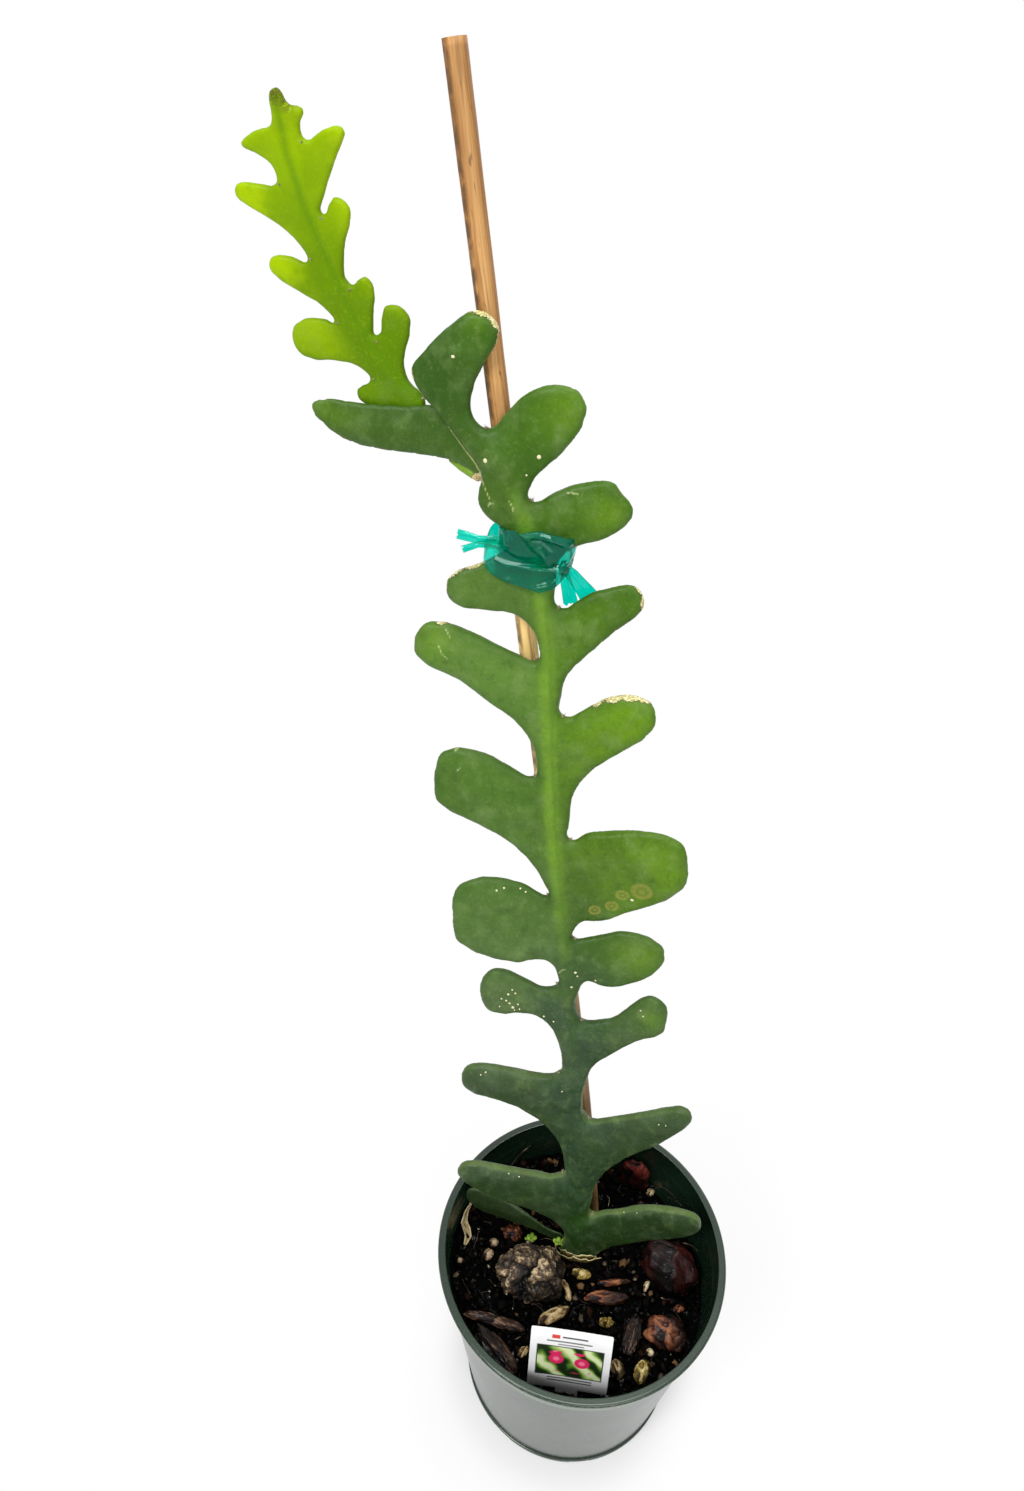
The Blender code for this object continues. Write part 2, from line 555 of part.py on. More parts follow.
def swelling(midrib, foot_half, top_half, blade_half):
    """Half thickness over a blade: swollen along the midrib, less so towards the top."""
    foot, top = midrib[0][1], midrib[-1][1]

    def half(across, up):
        share = min(1.0, max(0.0, (up - foot) / (top - foot)))
        rib = foot_half + (top_half - foot_half) * share
        reach = (across - midrib_across(midrib, up)) / MIDRIB_WIDTH
        return blade_half + (rib - blade_half) * math.exp(-reach * reach)
    return half


def even(half):
    return lambda across, up: half


def make_main_stem():
    """Main blade with all its side lobes, joined with the third wing's lobe behind it."""
    thickness = swelling(MAIN_MIDRIB, MIDRIB_HALF, MIDRIB_TOP_HALF, BLADE_HALF)
    blade = blade_mesh("main_stem", stem_outline(MAIN_RIGHT, MAIN_LEFT), MAIN_MIDRIB, main_lift,
                       thickness, 3, RIM_INSET)
    stem = add_part("main_stem", blade, "stem_green")
    wing = blade_mesh("wing_lobe", WING_OUTLINE, MAIN_MIDRIB, wing_lift, even(1.6), 4, RIM_INSET)
    boolean(stem, add_cutter("wing_lobe", wing), "UNION")


def make_young_stem():
    thickness = swelling(YOUNG_MIDRIB, 1.9, 1.3, 1.3)
    mesh = blade_mesh("young_stem", stem_outline(YOUNG_RIGHT, YOUNG_LEFT), YOUNG_MIDRIB, young_lift,
                      thickness, 3, 1.0)
    add_part("young_stem", mesh, "young_green")


def make_basal_shoot():
    midrib = [(-42.0, -1.0), (-42.0, 40.0)]
    mesh = blade_mesh("basal_shoot", BASAL_OUTLINE, midrib, basal_lift, even(1.7), 4, RIM_INSET)
    add_part("basal_shoot", mesh, "stem_green")


def make_side_stub():
    """A short cut-off shoot behind the wing lobe's lower edge."""
    route = [(-80.6, 455.9, 5.4), (-83.5, 457.2, 5.8), (-88, 459, 6.4), (-93, 460.8, 7.0)]
    points = [face_point(*place) for place in route]
    mesh = rod_mesh("side_stub", points, [2.1, 2.2, 1.9, 0.8], 12)
    add_part("side_stub", mesh, "young_green")


# ---------------------------------------------------------------- cane, tie and label

def cane_axis():
    return (CANE_TOP - CANE_AT_SOIL).normalized()


def make_cane():
    foot = CANE_AT_SOIL - CANE_BURIED * cane_axis()
    chamfer = 0.5
    points = [foot, CANE_TOP - chamfer * cane_axis(), CANE_TOP]
    mesh = rod_mesh("cane", points, [CANE_RADIUS, CANE_RADIUS, CANE_RADIUS - chamfer], 24)
    add_part("cane", mesh, "cane_wood")


def tape(name, place, along, rows):
    """A strip of tape: a flat grid bent by place(share along, share across), then made thick."""
    bm = bmesh.new()
    bmesh.ops.create_grid(bm, x_segments=along, y_segments=rows, size=0.5)
    for vert in bm.verts:
        vert.co = place(vert.co.x + 0.5, vert.co.y + 0.5) * MM
    bmesh.ops.remove_doubles(bm, verts=bm.verts, dist=0.00001)
    bmesh.ops.recalc_face_normals(bm, faces=bm.faces)
    obj = bpy.data.objects.new(name, mesh_from_bmesh(name, bm))
    bpy.context.scene.collection.objects.link(obj)
    solidify = obj.modifiers.new("tape", "SOLIDIFY")
    solidify.thickness = 2 * TAPE_HALF * MM
    solidify.offset = 0.0
    solid = evaluated_mesh(obj, name)
    bpy.data.objects.remove(obj)
    return solid


def place_on_loop(along, share):
    """The tape's loop round stem and cane: a rounded box, its front hanging lower than its sides."""
    angle = math.tau * along
    c, s = math.cos(angle), math.sin(angle)
    power = 2.0 / TIE_SQUARENESS
    across = TIE_CENTRE + TIE_HALF_WIDTH * math.copysign(abs(c) ** power, c)
    middle, half = (TIE_FRONT + TIE_BACK) / 2, (TIE_BACK - TIE_FRONT) / 2
    lift = middle + half * math.copysign(abs(s) ** power, s)
    front = max(0.0, -s) ** 3
    low = TIE_LOW + TIE_LOW_SIDE * c + TIE_LOW_FRONT * front
    high = TIE_HIGH + TIE_HIGH_SIDE * c + TIE_HIGH_FRONT * front
    return face_point(across, low + (high - low) * share, lift)


def place_on_tail(route, widths):
    """A flat end of the tape along a route of (across, up, lift) points, with its width at each."""
    stations = np.linspace(0.0, 1.0, len(route))

    def at(along):
        return [float(np.interp(along, stations, [point[k] for point in route])) for k in range(3)]

    def place(along, share):
        across, up, lift = at(along)
        ahead, behind = at(min(1.0, along + 0.01)), at(max(0.0, along - 0.01))
        run = Vector((ahead[0] - behind[0], ahead[1] - behind[1])).normalized()
        offset = float(np.interp(along, stations, widths)) * (share - 0.5)
        return face_point(across - offset * run.y, up + offset * run.x, lift)
    return place


def make_tie():
    loop = tape("tie_tape", place_on_loop, TIE_STEPS, TIE_ROWS)
    tie = add_part("tie_tape", loop, "tie_tape")
    bm = bmesh.new()
    bmesh.ops.create_icosphere(bm, subdivisions=2, radius=1.0)
    bmesh.ops.scale(bm, vec=Vector((KNOT_SIZE[0], KNOT_SIZE[2], KNOT_SIZE[1])) * MM, verts=bm.verts)
    bmesh.ops.translate(bm, vec=face_point(*KNOT_AT) * MM, verts=bm.verts)
    boolean(tie, add_cutter("tie_knot", mesh_from_bmesh("tie_knot", bm)), "UNION")
    for name, (route, widths) in TAILS.items():
        tail = tape(name, place_on_tail(route, widths), TAIL_STEPS, 1)
        boolean(tie, add_cutter(name, tail), "UNION")


def label_frame():
    """Right, up and face directions of the label, from the point where it meets the mix."""
    up = LABEL_UP
    right = (LABEL_RIGHT - LABEL_RIGHT.dot(up) * up).normalized()
    facing = right.cross(up)
    frame = Matrix((right, up, facing)).transposed().to_4x4()
    frame.translation = LABEL_AT_SOIL * MM
    return frame


def make_label():
    half, corner = LABEL_WIDTH / 2, 1.5
    tail, top = LABEL_TAIL_WIDTH / 2, LABEL_FOOT + LABEL_HEIGHT
    right_side = [(tail * 0.4, -LABEL_TAIL), (tail, -LABEL_TAIL + 4), (tail, LABEL_FOOT),
                  (half - corner, LABEL_FOOT), (half, LABEL_FOOT + corner),
                  (half, top - corner), (half - corner, top)]
    outline = right_side + [(-x, y) for x, y in reversed(right_side)]
    curve = bpy.data.curves.new("plant_label", "CURVE")
    curve.dimensions = "2D"
    curve.fill_mode = "BOTH"
    curve.extrude = LABEL_HALF * MM
    spline = curve.splines.new("POLY")
    spline.use_cyclic_u = True
    spline.points.add(len(outline) - 1)
    for item, (x, y) in zip(spline.points, outline):
        item.co = (x * MM, y * MM, 0.0, 1.0)
    obj = bpy.data.objects.new("plant_label", curve)
    bpy.context.scene.collection.objects.link(obj)
    mesh = evaluated_mesh(obj, "plant_label")
    bpy.data.objects.remove(obj)
    mesh.transform(label_frame())
    add_part("plant_label", mesh, "label_plastic")


# ---------------------------------------------------------------- potting mix and what lies on it

def soil_height(x, y):
    return SOIL_LEVEL + SOIL_SLOPE_X * x + SOIL_SLOPE_Y * y


def make_potting_mix():
    """A tapered plug that fills the pot up to the sloping top, with pockets for what stands in it."""
    bottom = FLOOR + GAP
    bm = bmesh.new()
    bmesh.ops.create_cone(bm, cap_ends=True, segments=POT_STEPS, radius1=1.0, radius2=1.0, depth=2.0)
    taper = (WALL_RADIUS - BASE_RADIUS) / (POT_HEIGHT - BAND_HEIGHT)
    for vert in bm.verts:
        angle = math.atan2(vert.co.y, vert.co.x)
        if vert.co.z < 0:
            height = bottom
            radius = BASE_RADIUS - 4.0 - 3 * GAP
        else:
            slope = SOIL_SLOPE_X * math.cos(angle) + SOIL_SLOPE_Y * math.sin(angle)
            radius = (inner_wall_radius(SOIL_LEVEL) - GAP) / (1.0 - taper * slope)
            height = SOIL_LEVEL + slope * radius
        vert.co = Vector((radius * math.cos(angle), radius * math.sin(angle), height)) * MM
    mix = add_part("potting_mix", mesh_from_bmesh("potting_mix", bm), "potting_mix")

    bm = bmesh.new()
    bmesh.ops.create_cube(bm, size=2.0)
    for vert in bm.verts:
        up = STEM_POCKET_TOP if vert.co.z > 0 else STEM_POCKET_BOTTOM
        half = STEM_POCKET_HALF_TOP if vert.co.z > 0 else STEM_POCKET_HALF_BOTTOM
        vert.co = face_point(vert.co.x * half, up, vert.co.y * STEM_POCKET_HALF_DEPTH) * MM
    boolean(mix, add_cutter("stem_pocket", mesh_from_bmesh("stem_pocket", bm)), "DIFFERENCE")

    axis = cane_axis()
    pocket = [CANE_AT_SOIL - (CANE_BURIED + GAP) * axis, CANE_AT_SOIL + 20.0 * axis]
    cane_pocket = rod_mesh("cane_pocket", pocket, [CANE_RADIUS + GAP] * 2, 24)
    boolean(mix, add_cutter("cane_pocket", cane_pocket), "DIFFERENCE")

    label_parts = {"tail_slot": (LABEL_TAIL_WIDTH, -LABEL_TAIL), "label_slot": (LABEL_WIDTH, LABEL_FOOT)}
    for slot, (width, low) in label_parts.items():
        bm = bmesh.new()
        bmesh.ops.create_cube(bm, size=1.0)
        size = Vector((width + 2 * GAP, LABEL_HEIGHT, 2 * (LABEL_HALF + GAP)))
        bmesh.ops.scale(bm, vec=size * MM, verts=bm.verts)
        bmesh.ops.translate(bm, vec=Vector((0.0, low - GAP + LABEL_HEIGHT / 2, 0.0)) * MM, verts=bm.verts)
        bmesh.ops.transform(bm, matrix=label_frame(), verts=bm.verts)
        boolean(mix, add_cutter(slot, mesh_from_bmesh(slot, bm)), "DIFFERENCE")


def make_chip(chip, seed):
    """A rough lump: a noise-shaped ball with a flat base, lying on the sloping mix."""
    bm = bmesh.new()
    bmesh.ops.create_icosphere(bm, subdivisions=chip.detail, radius=1.0)
    offset = Vector((seed * 3.7, seed * 1.9, seed * 2.3))
    half = Vector(chip.size) / 2
    for vert in bm.verts:
        grain = noise.noise(vert.co * 1.3 + offset) + 0.5 * noise.noise(vert.co * 2.9 + offset)
        shape = vert.co * (1.0 - chip.rough + chip.rough * 1.6 * grain)
        shape.z = max(shape.z, -CHIP_BASE)
        vert.co = Vector((shape.x * half.x, shape.y * half.y,
                          (shape.z + CHIP_BASE) * 2 * half.z / (1.0 + CHIP_BASE)))
    normal = Vector((-SOIL_SLOPE_X, -SOIL_SLOPE_Y, 1.0)).normalized()
    x, y = chip.at
    seat = Matrix.Translation(Vector((x, y, soil_height(x, y) + GAP)))
    slope = Vector((0, 0, 1)).rotation_difference(normal).to_matrix().to_4x4()
    turn = Matrix.Rotation(math.radians(chip.turn), 4, "Z")
    bmesh.ops.transform(bm, matrix=Matrix.Scale(MM, 4) @ seat @ slope @ turn, verts=bm.verts)
    bmesh.ops.dissolve_degenerate(bm, dist=0.00005, edges=bm.edges)
    add_part(chip.name, mesh_from_bmesh(chip.name, bm), chip.material)


PARTS, CUTTERS = start_scene()
make_pot()
make_potting_mix()
make_main_stem()
make_young_stem()
make_basal_shoot()
make_side_stub()
make_cane()
make_tie()
make_label()
for number, item in enumerate(CHIPS):
    make_chip(item, number + 1)
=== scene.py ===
"""Potted fishbone cactus: the finish of every piece, from the nursery pot up to the growing tip."""

import json
import math
import random

import bmesh
import bpy
import numpy as np
from mathutils import Euler, Matrix, Vector, kdtree, noise


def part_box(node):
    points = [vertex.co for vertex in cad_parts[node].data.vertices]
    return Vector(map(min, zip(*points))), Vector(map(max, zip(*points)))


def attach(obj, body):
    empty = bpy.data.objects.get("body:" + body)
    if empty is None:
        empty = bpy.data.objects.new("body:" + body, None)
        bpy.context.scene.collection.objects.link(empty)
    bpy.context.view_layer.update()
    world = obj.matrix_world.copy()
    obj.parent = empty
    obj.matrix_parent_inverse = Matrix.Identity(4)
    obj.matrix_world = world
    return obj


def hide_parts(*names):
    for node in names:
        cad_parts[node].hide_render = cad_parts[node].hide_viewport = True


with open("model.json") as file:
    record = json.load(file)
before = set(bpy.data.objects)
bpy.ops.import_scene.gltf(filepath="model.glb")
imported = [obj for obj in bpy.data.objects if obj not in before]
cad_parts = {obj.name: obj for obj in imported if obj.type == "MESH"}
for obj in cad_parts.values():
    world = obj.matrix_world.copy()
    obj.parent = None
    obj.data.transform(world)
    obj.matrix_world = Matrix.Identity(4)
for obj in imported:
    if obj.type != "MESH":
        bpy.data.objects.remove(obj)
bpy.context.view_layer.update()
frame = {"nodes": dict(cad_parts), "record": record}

# Pot ---------------------------------------------------------------------------------------------
# A thin round nursery pot, moulded in dark green plastic: a flat lip round a short upright band, a
# tapered wall with a stepped foot, and a flat floor with drain holes. Handling has left fine
# scratches and a little dust, and the mix has dried on the wall above it.

MM = 0.001
POT_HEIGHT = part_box("pot")[1].z / MM
LIP_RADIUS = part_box("pot")[1].x / MM
BAND_RADIUS = LIP_RADIUS - 2.2
WALL_TOP_RADIUS = BAND_RADIUS - 2.3
WALL_TOP = POT_HEIGHT - 14.5
FOOT_RADIUS = 64.2
FOOT_STEP = 4.6
WALL = 1.4
FLAT_MARGIN = 0.3             # how close to its corners the wall's section runs straight
POT_TURNS = 176
DRAIN_HOLES, DRAIN_REACH, DRAIN_RADIUS = 6, 46, 5
FOOT_VENTS = 8
TIDE_TOP = 128                # how high the mix has marked the wall inside


def shade(red, green, blue):
    """A colour given as on a paint chart, 0 to 255, in the linear values that a shader takes."""
    def linear(value):
        value /= 255.0
        return value / 12.92 if value <= 0.04045 else ((value + 0.055) / 1.055) ** 2.4
    return (linear(red), linear(green), linear(blue), 1.0)


class Tone:
    """A value that varies over a surface, so that shader maths reads as arithmetic."""

    def __init__(self, finish, socket):
        self.finish = finish
        self.socket = socket

    def math(self, operation, first, second, third=0.0):
        return self.finish.node("ShaderNodeMath", {"operation": operation}, {0: first, 1: second, 2: third})

    def __add__(self, other):
        return self.math("ADD", self, other)

    def __sub__(self, other):
        return self.math("SUBTRACT", self, other)

    def __rsub__(self, other):
        return self.math("SUBTRACT", other, self)

    def __mul__(self, other):
        return self.math("MULTIPLY", self, other)

    def __truediv__(self, other):
        return self.math("DIVIDE", self, other)

    __radd__ = __add__
    __rmul__ = __mul__

    def between(self, low, high):
        """0 below low, 1 above high and smooth between them; low may be the greater of the two."""
        settings = {"interpolation_type": "SMOOTHSTEP"}
        return self.finish.node("ShaderNodeMapRange", settings, {0: self, 1: low, 2: high, 3: 0.0, 4: 1.0})

    def larger(self, other):
        return self.math("MAXIMUM", self, other)

    def away(self):
        """Its size without its sign."""
        return self.math("ABSOLUTE", self, 0.0)


class Finish:
    """A material being mixed, or the studio's light: its nodes all lead to one shader."""

    def __init__(self, name, constants, kind="materials", shader="Principled BSDF"):
        self.material = getattr(bpy.data, kind).new(name)
        self.material.use_nodes = True
        self.tree = self.material.node_tree
        self.shader = self.tree.nodes[shader]
        for socket, value in constants.items():
            self.shader.inputs[socket].default_value = value

    def feed(self, socket, value):
        if isinstance(value, Tone):
            self.tree.links.new(value.socket, socket)
        else:
            socket.default_value = value

    def node(self, kind, settings=None, values=None, output=0):
        """Adds a node: its settings first, then the values or links of its sockets."""
        node = self.tree.nodes.new(kind)
        for name, value in (settings or {}).items():
            if name == "stops":
                while len(node.color_ramp.elements) < len(value):
                    node.color_ramp.elements.new(0.5)
                for element, (position, colour) in zip(node.color_ramp.elements, value):
                    element.position = position
                    element.color = colour
            else:
                setattr(node, name, value)
        for name, value in (values or {}).items():
            self.feed(node.inputs[name], value)
        return Tone(self, node.outputs[output])

    def place(self):
        return self.node("ShaderNodeTexCoord", output="Object")

    def axis(self, letter, place=None):
        return self.node("ShaderNodeSeparateXYZ", values={0: place or self.place()}, output=letter)

    def stretched(self, scale, place=None):
        settings = {"operation": "MULTIPLY"}
        return self.node("ShaderNodeVectorMath", settings, {0: place or self.place(), 1: scale})

    def noise(self, size, detail=3.0, place=None, roughness=0.55):
        """Cloudy noise whose features are about size millimetres across."""
        values = {"Vector": place or self.place(), "Scale": 1.0 / (size * MM), "Detail": detail,
                  "Roughness": roughness}
        return self.node("ShaderNodeTexNoise", {"noise_dimensions": "3D"}, values)

    def cells(self, size):
        """Distance from the middle of cells about size millimetres across."""
        values = {"Vector": self.place(), "Scale": 1.0 / (size * MM)}
        return self.node("ShaderNodeTexVoronoi", {"feature": "F1"}, values, "Distance")

    def stored(self, name, output="Fac"):
        return self.node("ShaderNodeAttribute", {"attribute_name": name}, output=output)

    def ramp(self, tone, *stops):
        """Colours that follow a tone; a stop is its place, then its red, green and blue."""
        stops = [(place, shade(*colour)) for place, *colour in stops]
        return self.node("ShaderNodeValToRGB", {"stops": stops}, {0: tone})

    def mix(self, factor, first, second):
        settings = {"data_type": "RGBA", "blend_type": "MIX", "clamp_factor": True}
        return self.node("ShaderNodeMix", settings, {0: factor, 6: first, 7: second}, 2)

    def tint(self, colour, *layers):
        """Lays tints over a colour, one by one; a layer is its mask, then its red, green and blue."""
        for mask, *over in layers:
            colour = self.mix(mask, colour, shade(*over))
        return colour

    def done(self, colour, roughness, height=None, depth=0.0, strength=1.0, coat=None):
        """Feeds the shader, and raises the surface by height times depth millimetres."""
        values = {"Height": height, "Distance": depth * MM, "Strength": strength}
        normal = height and self.node("ShaderNodeBump", values=values)
        links = {"Base Color": colour, "Roughness": roughness, "Normal": normal, "Coat Weight": coat}
        for socket, value in links.items():
            if value is not None:
                self.feed(self.shader.inputs[socket], value)
        return self.material


def store(mesh, name, values):
    """Keeps one number for each point of a mesh, for its finish to read."""
    layer = mesh.attributes.new(name, "FLOAT", "POINT")
    layer.data.foreach_set("value", np.asarray(values, dtype=np.float32))


def points_of(mesh):
    """A mesh's points as an array, in metres."""
    points = np.empty(len(mesh.vertices) * 3, dtype=np.float32)
    mesh.vertices.foreach_get("co", points)
    return points.reshape(-1, 3).astype(float)


def mesh_of(name, bm):
    mesh = bpy.data.meshes.new(name)
    bm.to_mesh(mesh)
    bm.free()
    return mesh


def set_out(name, data):
    """A new object in the scene, from a mesh, curve, lamp or camera."""
    obj = bpy.data.objects.new(name, data)
    bpy.context.scene.collection.objects.link(obj)
    return obj


def with_modifiers(data, *modifiers):
    """The mesh that is left once each modifier, given as (type, settings), has been applied."""
    obj = set_out("working", data)
    for kind, settings in modifiers:
        modifier = obj.modifiers.new(kind.lower(), kind)
        for name, value in settings.items():
            setattr(modifier, name, value)
    result = bpy.data.meshes.new_from_object(obj.evaluated_get(bpy.context.evaluated_depsgraph_get()))
    bpy.data.objects.remove(obj)
    return result


def add_piece(name, shape, material, slot, *cad_nodes):
    """Shows a mesh or bmesh as a piece of the plant, in place of the CAD nodes that it stands for."""
    mesh = mesh_of(name, shape) if isinstance(shape, bmesh.types.BMesh) else shape
    obj = set_out(name, mesh)
    mesh.materials.clear()
    mesh.materials.append(material)
    mesh.shade_smooth()
    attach(obj, "root")
    if cad_nodes:
        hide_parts(*cad_nodes)


def chain(bm, points):
    """A run of edges; each point is its distance from the axis and its height."""
    verts = [bm.verts.new((reach, 0, height)) for reach, height in points]
    for first, second in zip(verts, verts[1:]):
        bm.edges.new((first, second))
    return verts


def spin_round(bm, turns, seam):
    """Spins a chain once round the axis and joins what lies closer than the seam."""
    bmesh.ops.spin(bm, geom=bm.verts[:] + bm.edges[:], cent=(0, 0, 0), axis=(0, 0, 1), angle=math.tau,
                   steps=turns, use_merge=True)
    bmesh.ops.remove_doubles(bm, verts=bm.verts, dist=seam)
    bmesh.ops.recalc_face_normals(bm, faces=bm.faces)


def wall_radius(height):
    """Inside radius of the pot's tapered wall at a height, in millimetres."""
    return FOOT_RADIUS + (WALL_TOP_RADIUS - FOOT_RADIUS) * height / WALL_TOP - WALL


def pot_shell():
    """The wall's section, its corners rounded, is spun once round."""
    section = [
        (0, 0), (FOOT_RADIUS - 1.0, 0), (FOOT_RADIUS + 0.5, 1.5), (FOOT_RADIUS + 0.7, FOOT_STEP - 0.4),
        (FOOT_RADIUS + 0.2, FOOT_STEP), (FOOT_RADIUS - 1.0, FOOT_STEP + 0.1),
        (FOOT_RADIUS - 0.2, FOOT_STEP + 2.2),
        (WALL_TOP_RADIUS, WALL_TOP), (BAND_RADIUS - 0.3, WALL_TOP + 1.8), (BAND_RADIUS, POT_HEIGHT - 2.8),
        (LIP_RADIUS - 0.2, POT_HEIGHT - 2.6), (LIP_RADIUS, POT_HEIGHT - 0.9), (LIP_RADIUS - 0.9, POT_HEIGHT),
        (LIP_RADIUS - 4.4, POT_HEIGHT - 0.1), (BAND_RADIUS - WALL, POT_HEIGHT - 1.6),
        (BAND_RADIUS - WALL - 1.5, WALL_TOP + 2.4), (WALL_TOP_RADIUS - WALL, WALL_TOP - 0.6),
        (FOOT_RADIUS - 0.5, FOOT_STEP), (FOOT_RADIUS - 3.5, 1.8), (0, 1.8)]
    bm = bmesh.new()
    corners = chain(bm, [(radius * MM, height * MM) for radius, height in section])
    bmesh.ops.bevel(bm, geom=corners[1:-1], offset=0.4 * MM, offset_type="OFFSET", affect="VERTICES",
                    segments=3, profile=0.5, material=-1)
    for edge in [edge for edge in bm.edges if edge.calc_length() > 1.2 * MM]:
        inset = FLAT_MARGIN * MM / edge.calc_length()
        rest = bmesh.utils.edge_split(edge, edge.verts[0], inset)[0]
        rest = max((edge, rest), key=lambda part: part.calc_length())
        bmesh.utils.edge_split(rest, rest.verts[1], inset)
    spin_round(bm, POT_TURNS, 0.01 * MM)
    return mesh_of("pot", bm)


def pot_openings():
    """Drain holes through the floor, and the shallow notches that vent the foot."""
    bm = bmesh.new()
    for turn in range(DRAIN_HOLES):
        place = (Matrix.Rotation(math.tau * turn / DRAIN_HOLES, 4, "Z")
                 @ Matrix.Translation((DRAIN_REACH * MM, 0, 0)))
        bmesh.ops.create_cone(bm, cap_ends=True, segments=32, radius1=DRAIN_RADIUS * MM,
                              radius2=DRAIN_RADIUS * MM, depth=8 * MM, matrix=place)
    for turn in range(FOOT_VENTS):
        place = (Matrix.Rotation(math.tau * (turn + 0.35) / FOOT_VENTS, 4, "Z")
                 @ Matrix.Translation(((FOOT_RADIUS + 1.6) * MM, 0, 0))
                 @ Matrix.Diagonal((5 * MM, 12 * MM, 6 * MM, 1)))
        bmesh.ops.create_cube(bm, size=1.0, matrix=place)
    return set_out("pot_openings", mesh_of("pot_openings", bm))


def pot_plastic():
    """Glossy dark green, mottled a little, with dust, a tide mark inside above the mix and a painted pale
    reflection outside.
    """
    finish = Finish("pot_plastic", {"IOR": 1.5, "Coat Weight": 0.2, "Coat Roughness": 0.12,
                                    "Specular Tint": (0.92, 1.0, 0.90, 1.0)})
    cloud = finish.noise(26, 4.0)
    worn = finish.stored("edge_wear") * finish.noise(2.2, 4.0).between(0.40, 0.62)
    dust = finish.noise(9, 6.0, roughness=0.7).between(0.60, 0.78) * 0.06
    tide = finish.stored("tide_mark") * finish.noise(4, 6.0, roughness=0.7).between(0.45, 0.66)
    green = finish.tint(
        finish.mix(cloud, shade(14, 31, 21), shade(22, 43, 30)),
        # The outer wall is lightened to a pale grey-green: a painted reflection of the bright floor
        (finish.stored("hazy") * (cloud * 0.3 + 0.40), 134, 152, 132),
        (worn * 0.30, 120, 138, 120),
        (dust, 150, 150, 135),
        (tide * 0.8, 20, 17, 13))
    mould = finish.noise(2.6, 3.0, finish.stretched((0.12, 0.12, 1.0)))
    scratches = finish.noise(0.7, 2.0, finish.stretched((1.0, 1.0, 0.15))).between(0.66, 0.76)
    roughness = cloud * 0.08 + dust * 1.5 + tide * 0.4 + 0.22
    return finish.done(green, roughness, mould * 0.5 + scratches * 0.25, 0.08, 0.5)


openings = pot_openings()
pot_mesh = with_modifiers(pot_shell(), ("BOOLEAN", {"operation": "DIFFERENCE", "object": openings}))
bpy.data.objects.remove(openings)
pot_points = points_of(pot_mesh) / MM
pot_reach = np.hypot(pot_points[:, 0], pot_points[:, 1])
pot_level = pot_points[:, 2]
inner_wall = wall_radius(pot_level) + 0.3 * WALL
store(pot_mesh, "tide_mark", (pot_reach < inner_wall) * np.clip((TIDE_TOP - pot_level) / 14, 0, 1))
# Marks the outer wall below the lip, where the pale reflection is painted
store(pot_mesh, "hazy", (pot_reach > inner_wall + 1.2 * WALL) * (pot_level < POT_HEIGHT - 2.7))
store(pot_mesh, "edge_wear", (pot_reach > LIP_RADIUS - 0.3) * (pot_level > POT_HEIGHT - 1))
add_piece("nursery_pot", pot_mesh, pot_plastic(), "pot_plastic", "pot")
pot_mesh.set_sharp_from_angle(angle=math.radians(40))

# Potting mix -------------------------------------------------------------------------------------
# A loose, damp, almost black mix of composted bark. Its top slopes down to the right and is broken
# up by crumbs of bark, pale grains and thin dead roots, some of them stuck to the pot's wall.

MIX_RINGS = 120
MIX_TURNS = 330
WALL_GAP = 0.35
BANK_HEIGHT = 5.8             # how far the mix is banked up round the stem's foot
BED_FLOOR = 2.1               # height of the mix's underside, just above the pot's floor

mix_points = points_of(frame["nodes"]["potting_mix"].data) / MM
mix_top = mix_points[(mix_points[:, 2] > 90) & (np.hypot(mix_points[:, 0], mix_points[:, 1]) > 60)]
plane = np.linalg.lstsq(np.c_[mix_top[:, :2], np.ones(len(mix_top))], mix_top[:, 2], rcond=None)[0]


def mix_level(x, y):
    """Height in millimetres of the mix's sloping top, banked up round the stem's foot, before its lumps."""
    bank = BANK_HEIGHT * math.exp(-((x - 11) / 14) ** 2 - ((y - 6) / 5.5) ** 2)
    return plane[0] * x + plane[1] * y + plane[2] + bank


def wobble(x, y, z):
    """Smooth noise at a place, from -1 to 1."""
    return noise.noise(Vector((x, y, z)))


def mix_height(x, y):
    """Height of the mix's lumpy top in millimetres."""
    broad = wobble(x / 21, y / 21, 3.1)
    lumpy = wobble(x / 7, y / 7, 8.4)
    rough = wobble(x / 2.6, y / 2.6, 1.7)
    fine = wobble(x / 1.1, y / 1.1, 5.2)
    return mix_level(x, y) + 1.6 * broad + 1.4 * lumpy + 0.8 * rough + 0.35 * fine - 0.6


def mix_bed():
    """A closed plug: its section is spun round, then the top's rings are fitted to the sloping wall."""
    bm = bmesh.new()
    chain(bm, [(ring / MIX_RINGS, 1) for ring in range(MIX_RINGS + 1)] + [(1, 0), (0, 0)])
    spin_round(bm, MIX_TURNS, 0.0001)
    for vert in bm.verts:
        share = math.hypot(vert.co.x, vert.co.y)
        turn = math.atan2(vert.co.y, vert.co.x)
        edge = 74.0
        for _ in range(4):
            edge = wall_radius(mix_level(edge * math.cos(turn), edge * math.sin(turn))) - WALL_GAP
        if vert.co.z < 0.5:
            edge = FOOT_RADIUS - 4
        x, y = share * edge * math.cos(turn), share * edge * math.sin(turn)
        vert.co = Vector((x, y, mix_height(x, y) if vert.co.z > 0.5 else BED_FLOOR)) * MM
    return bm


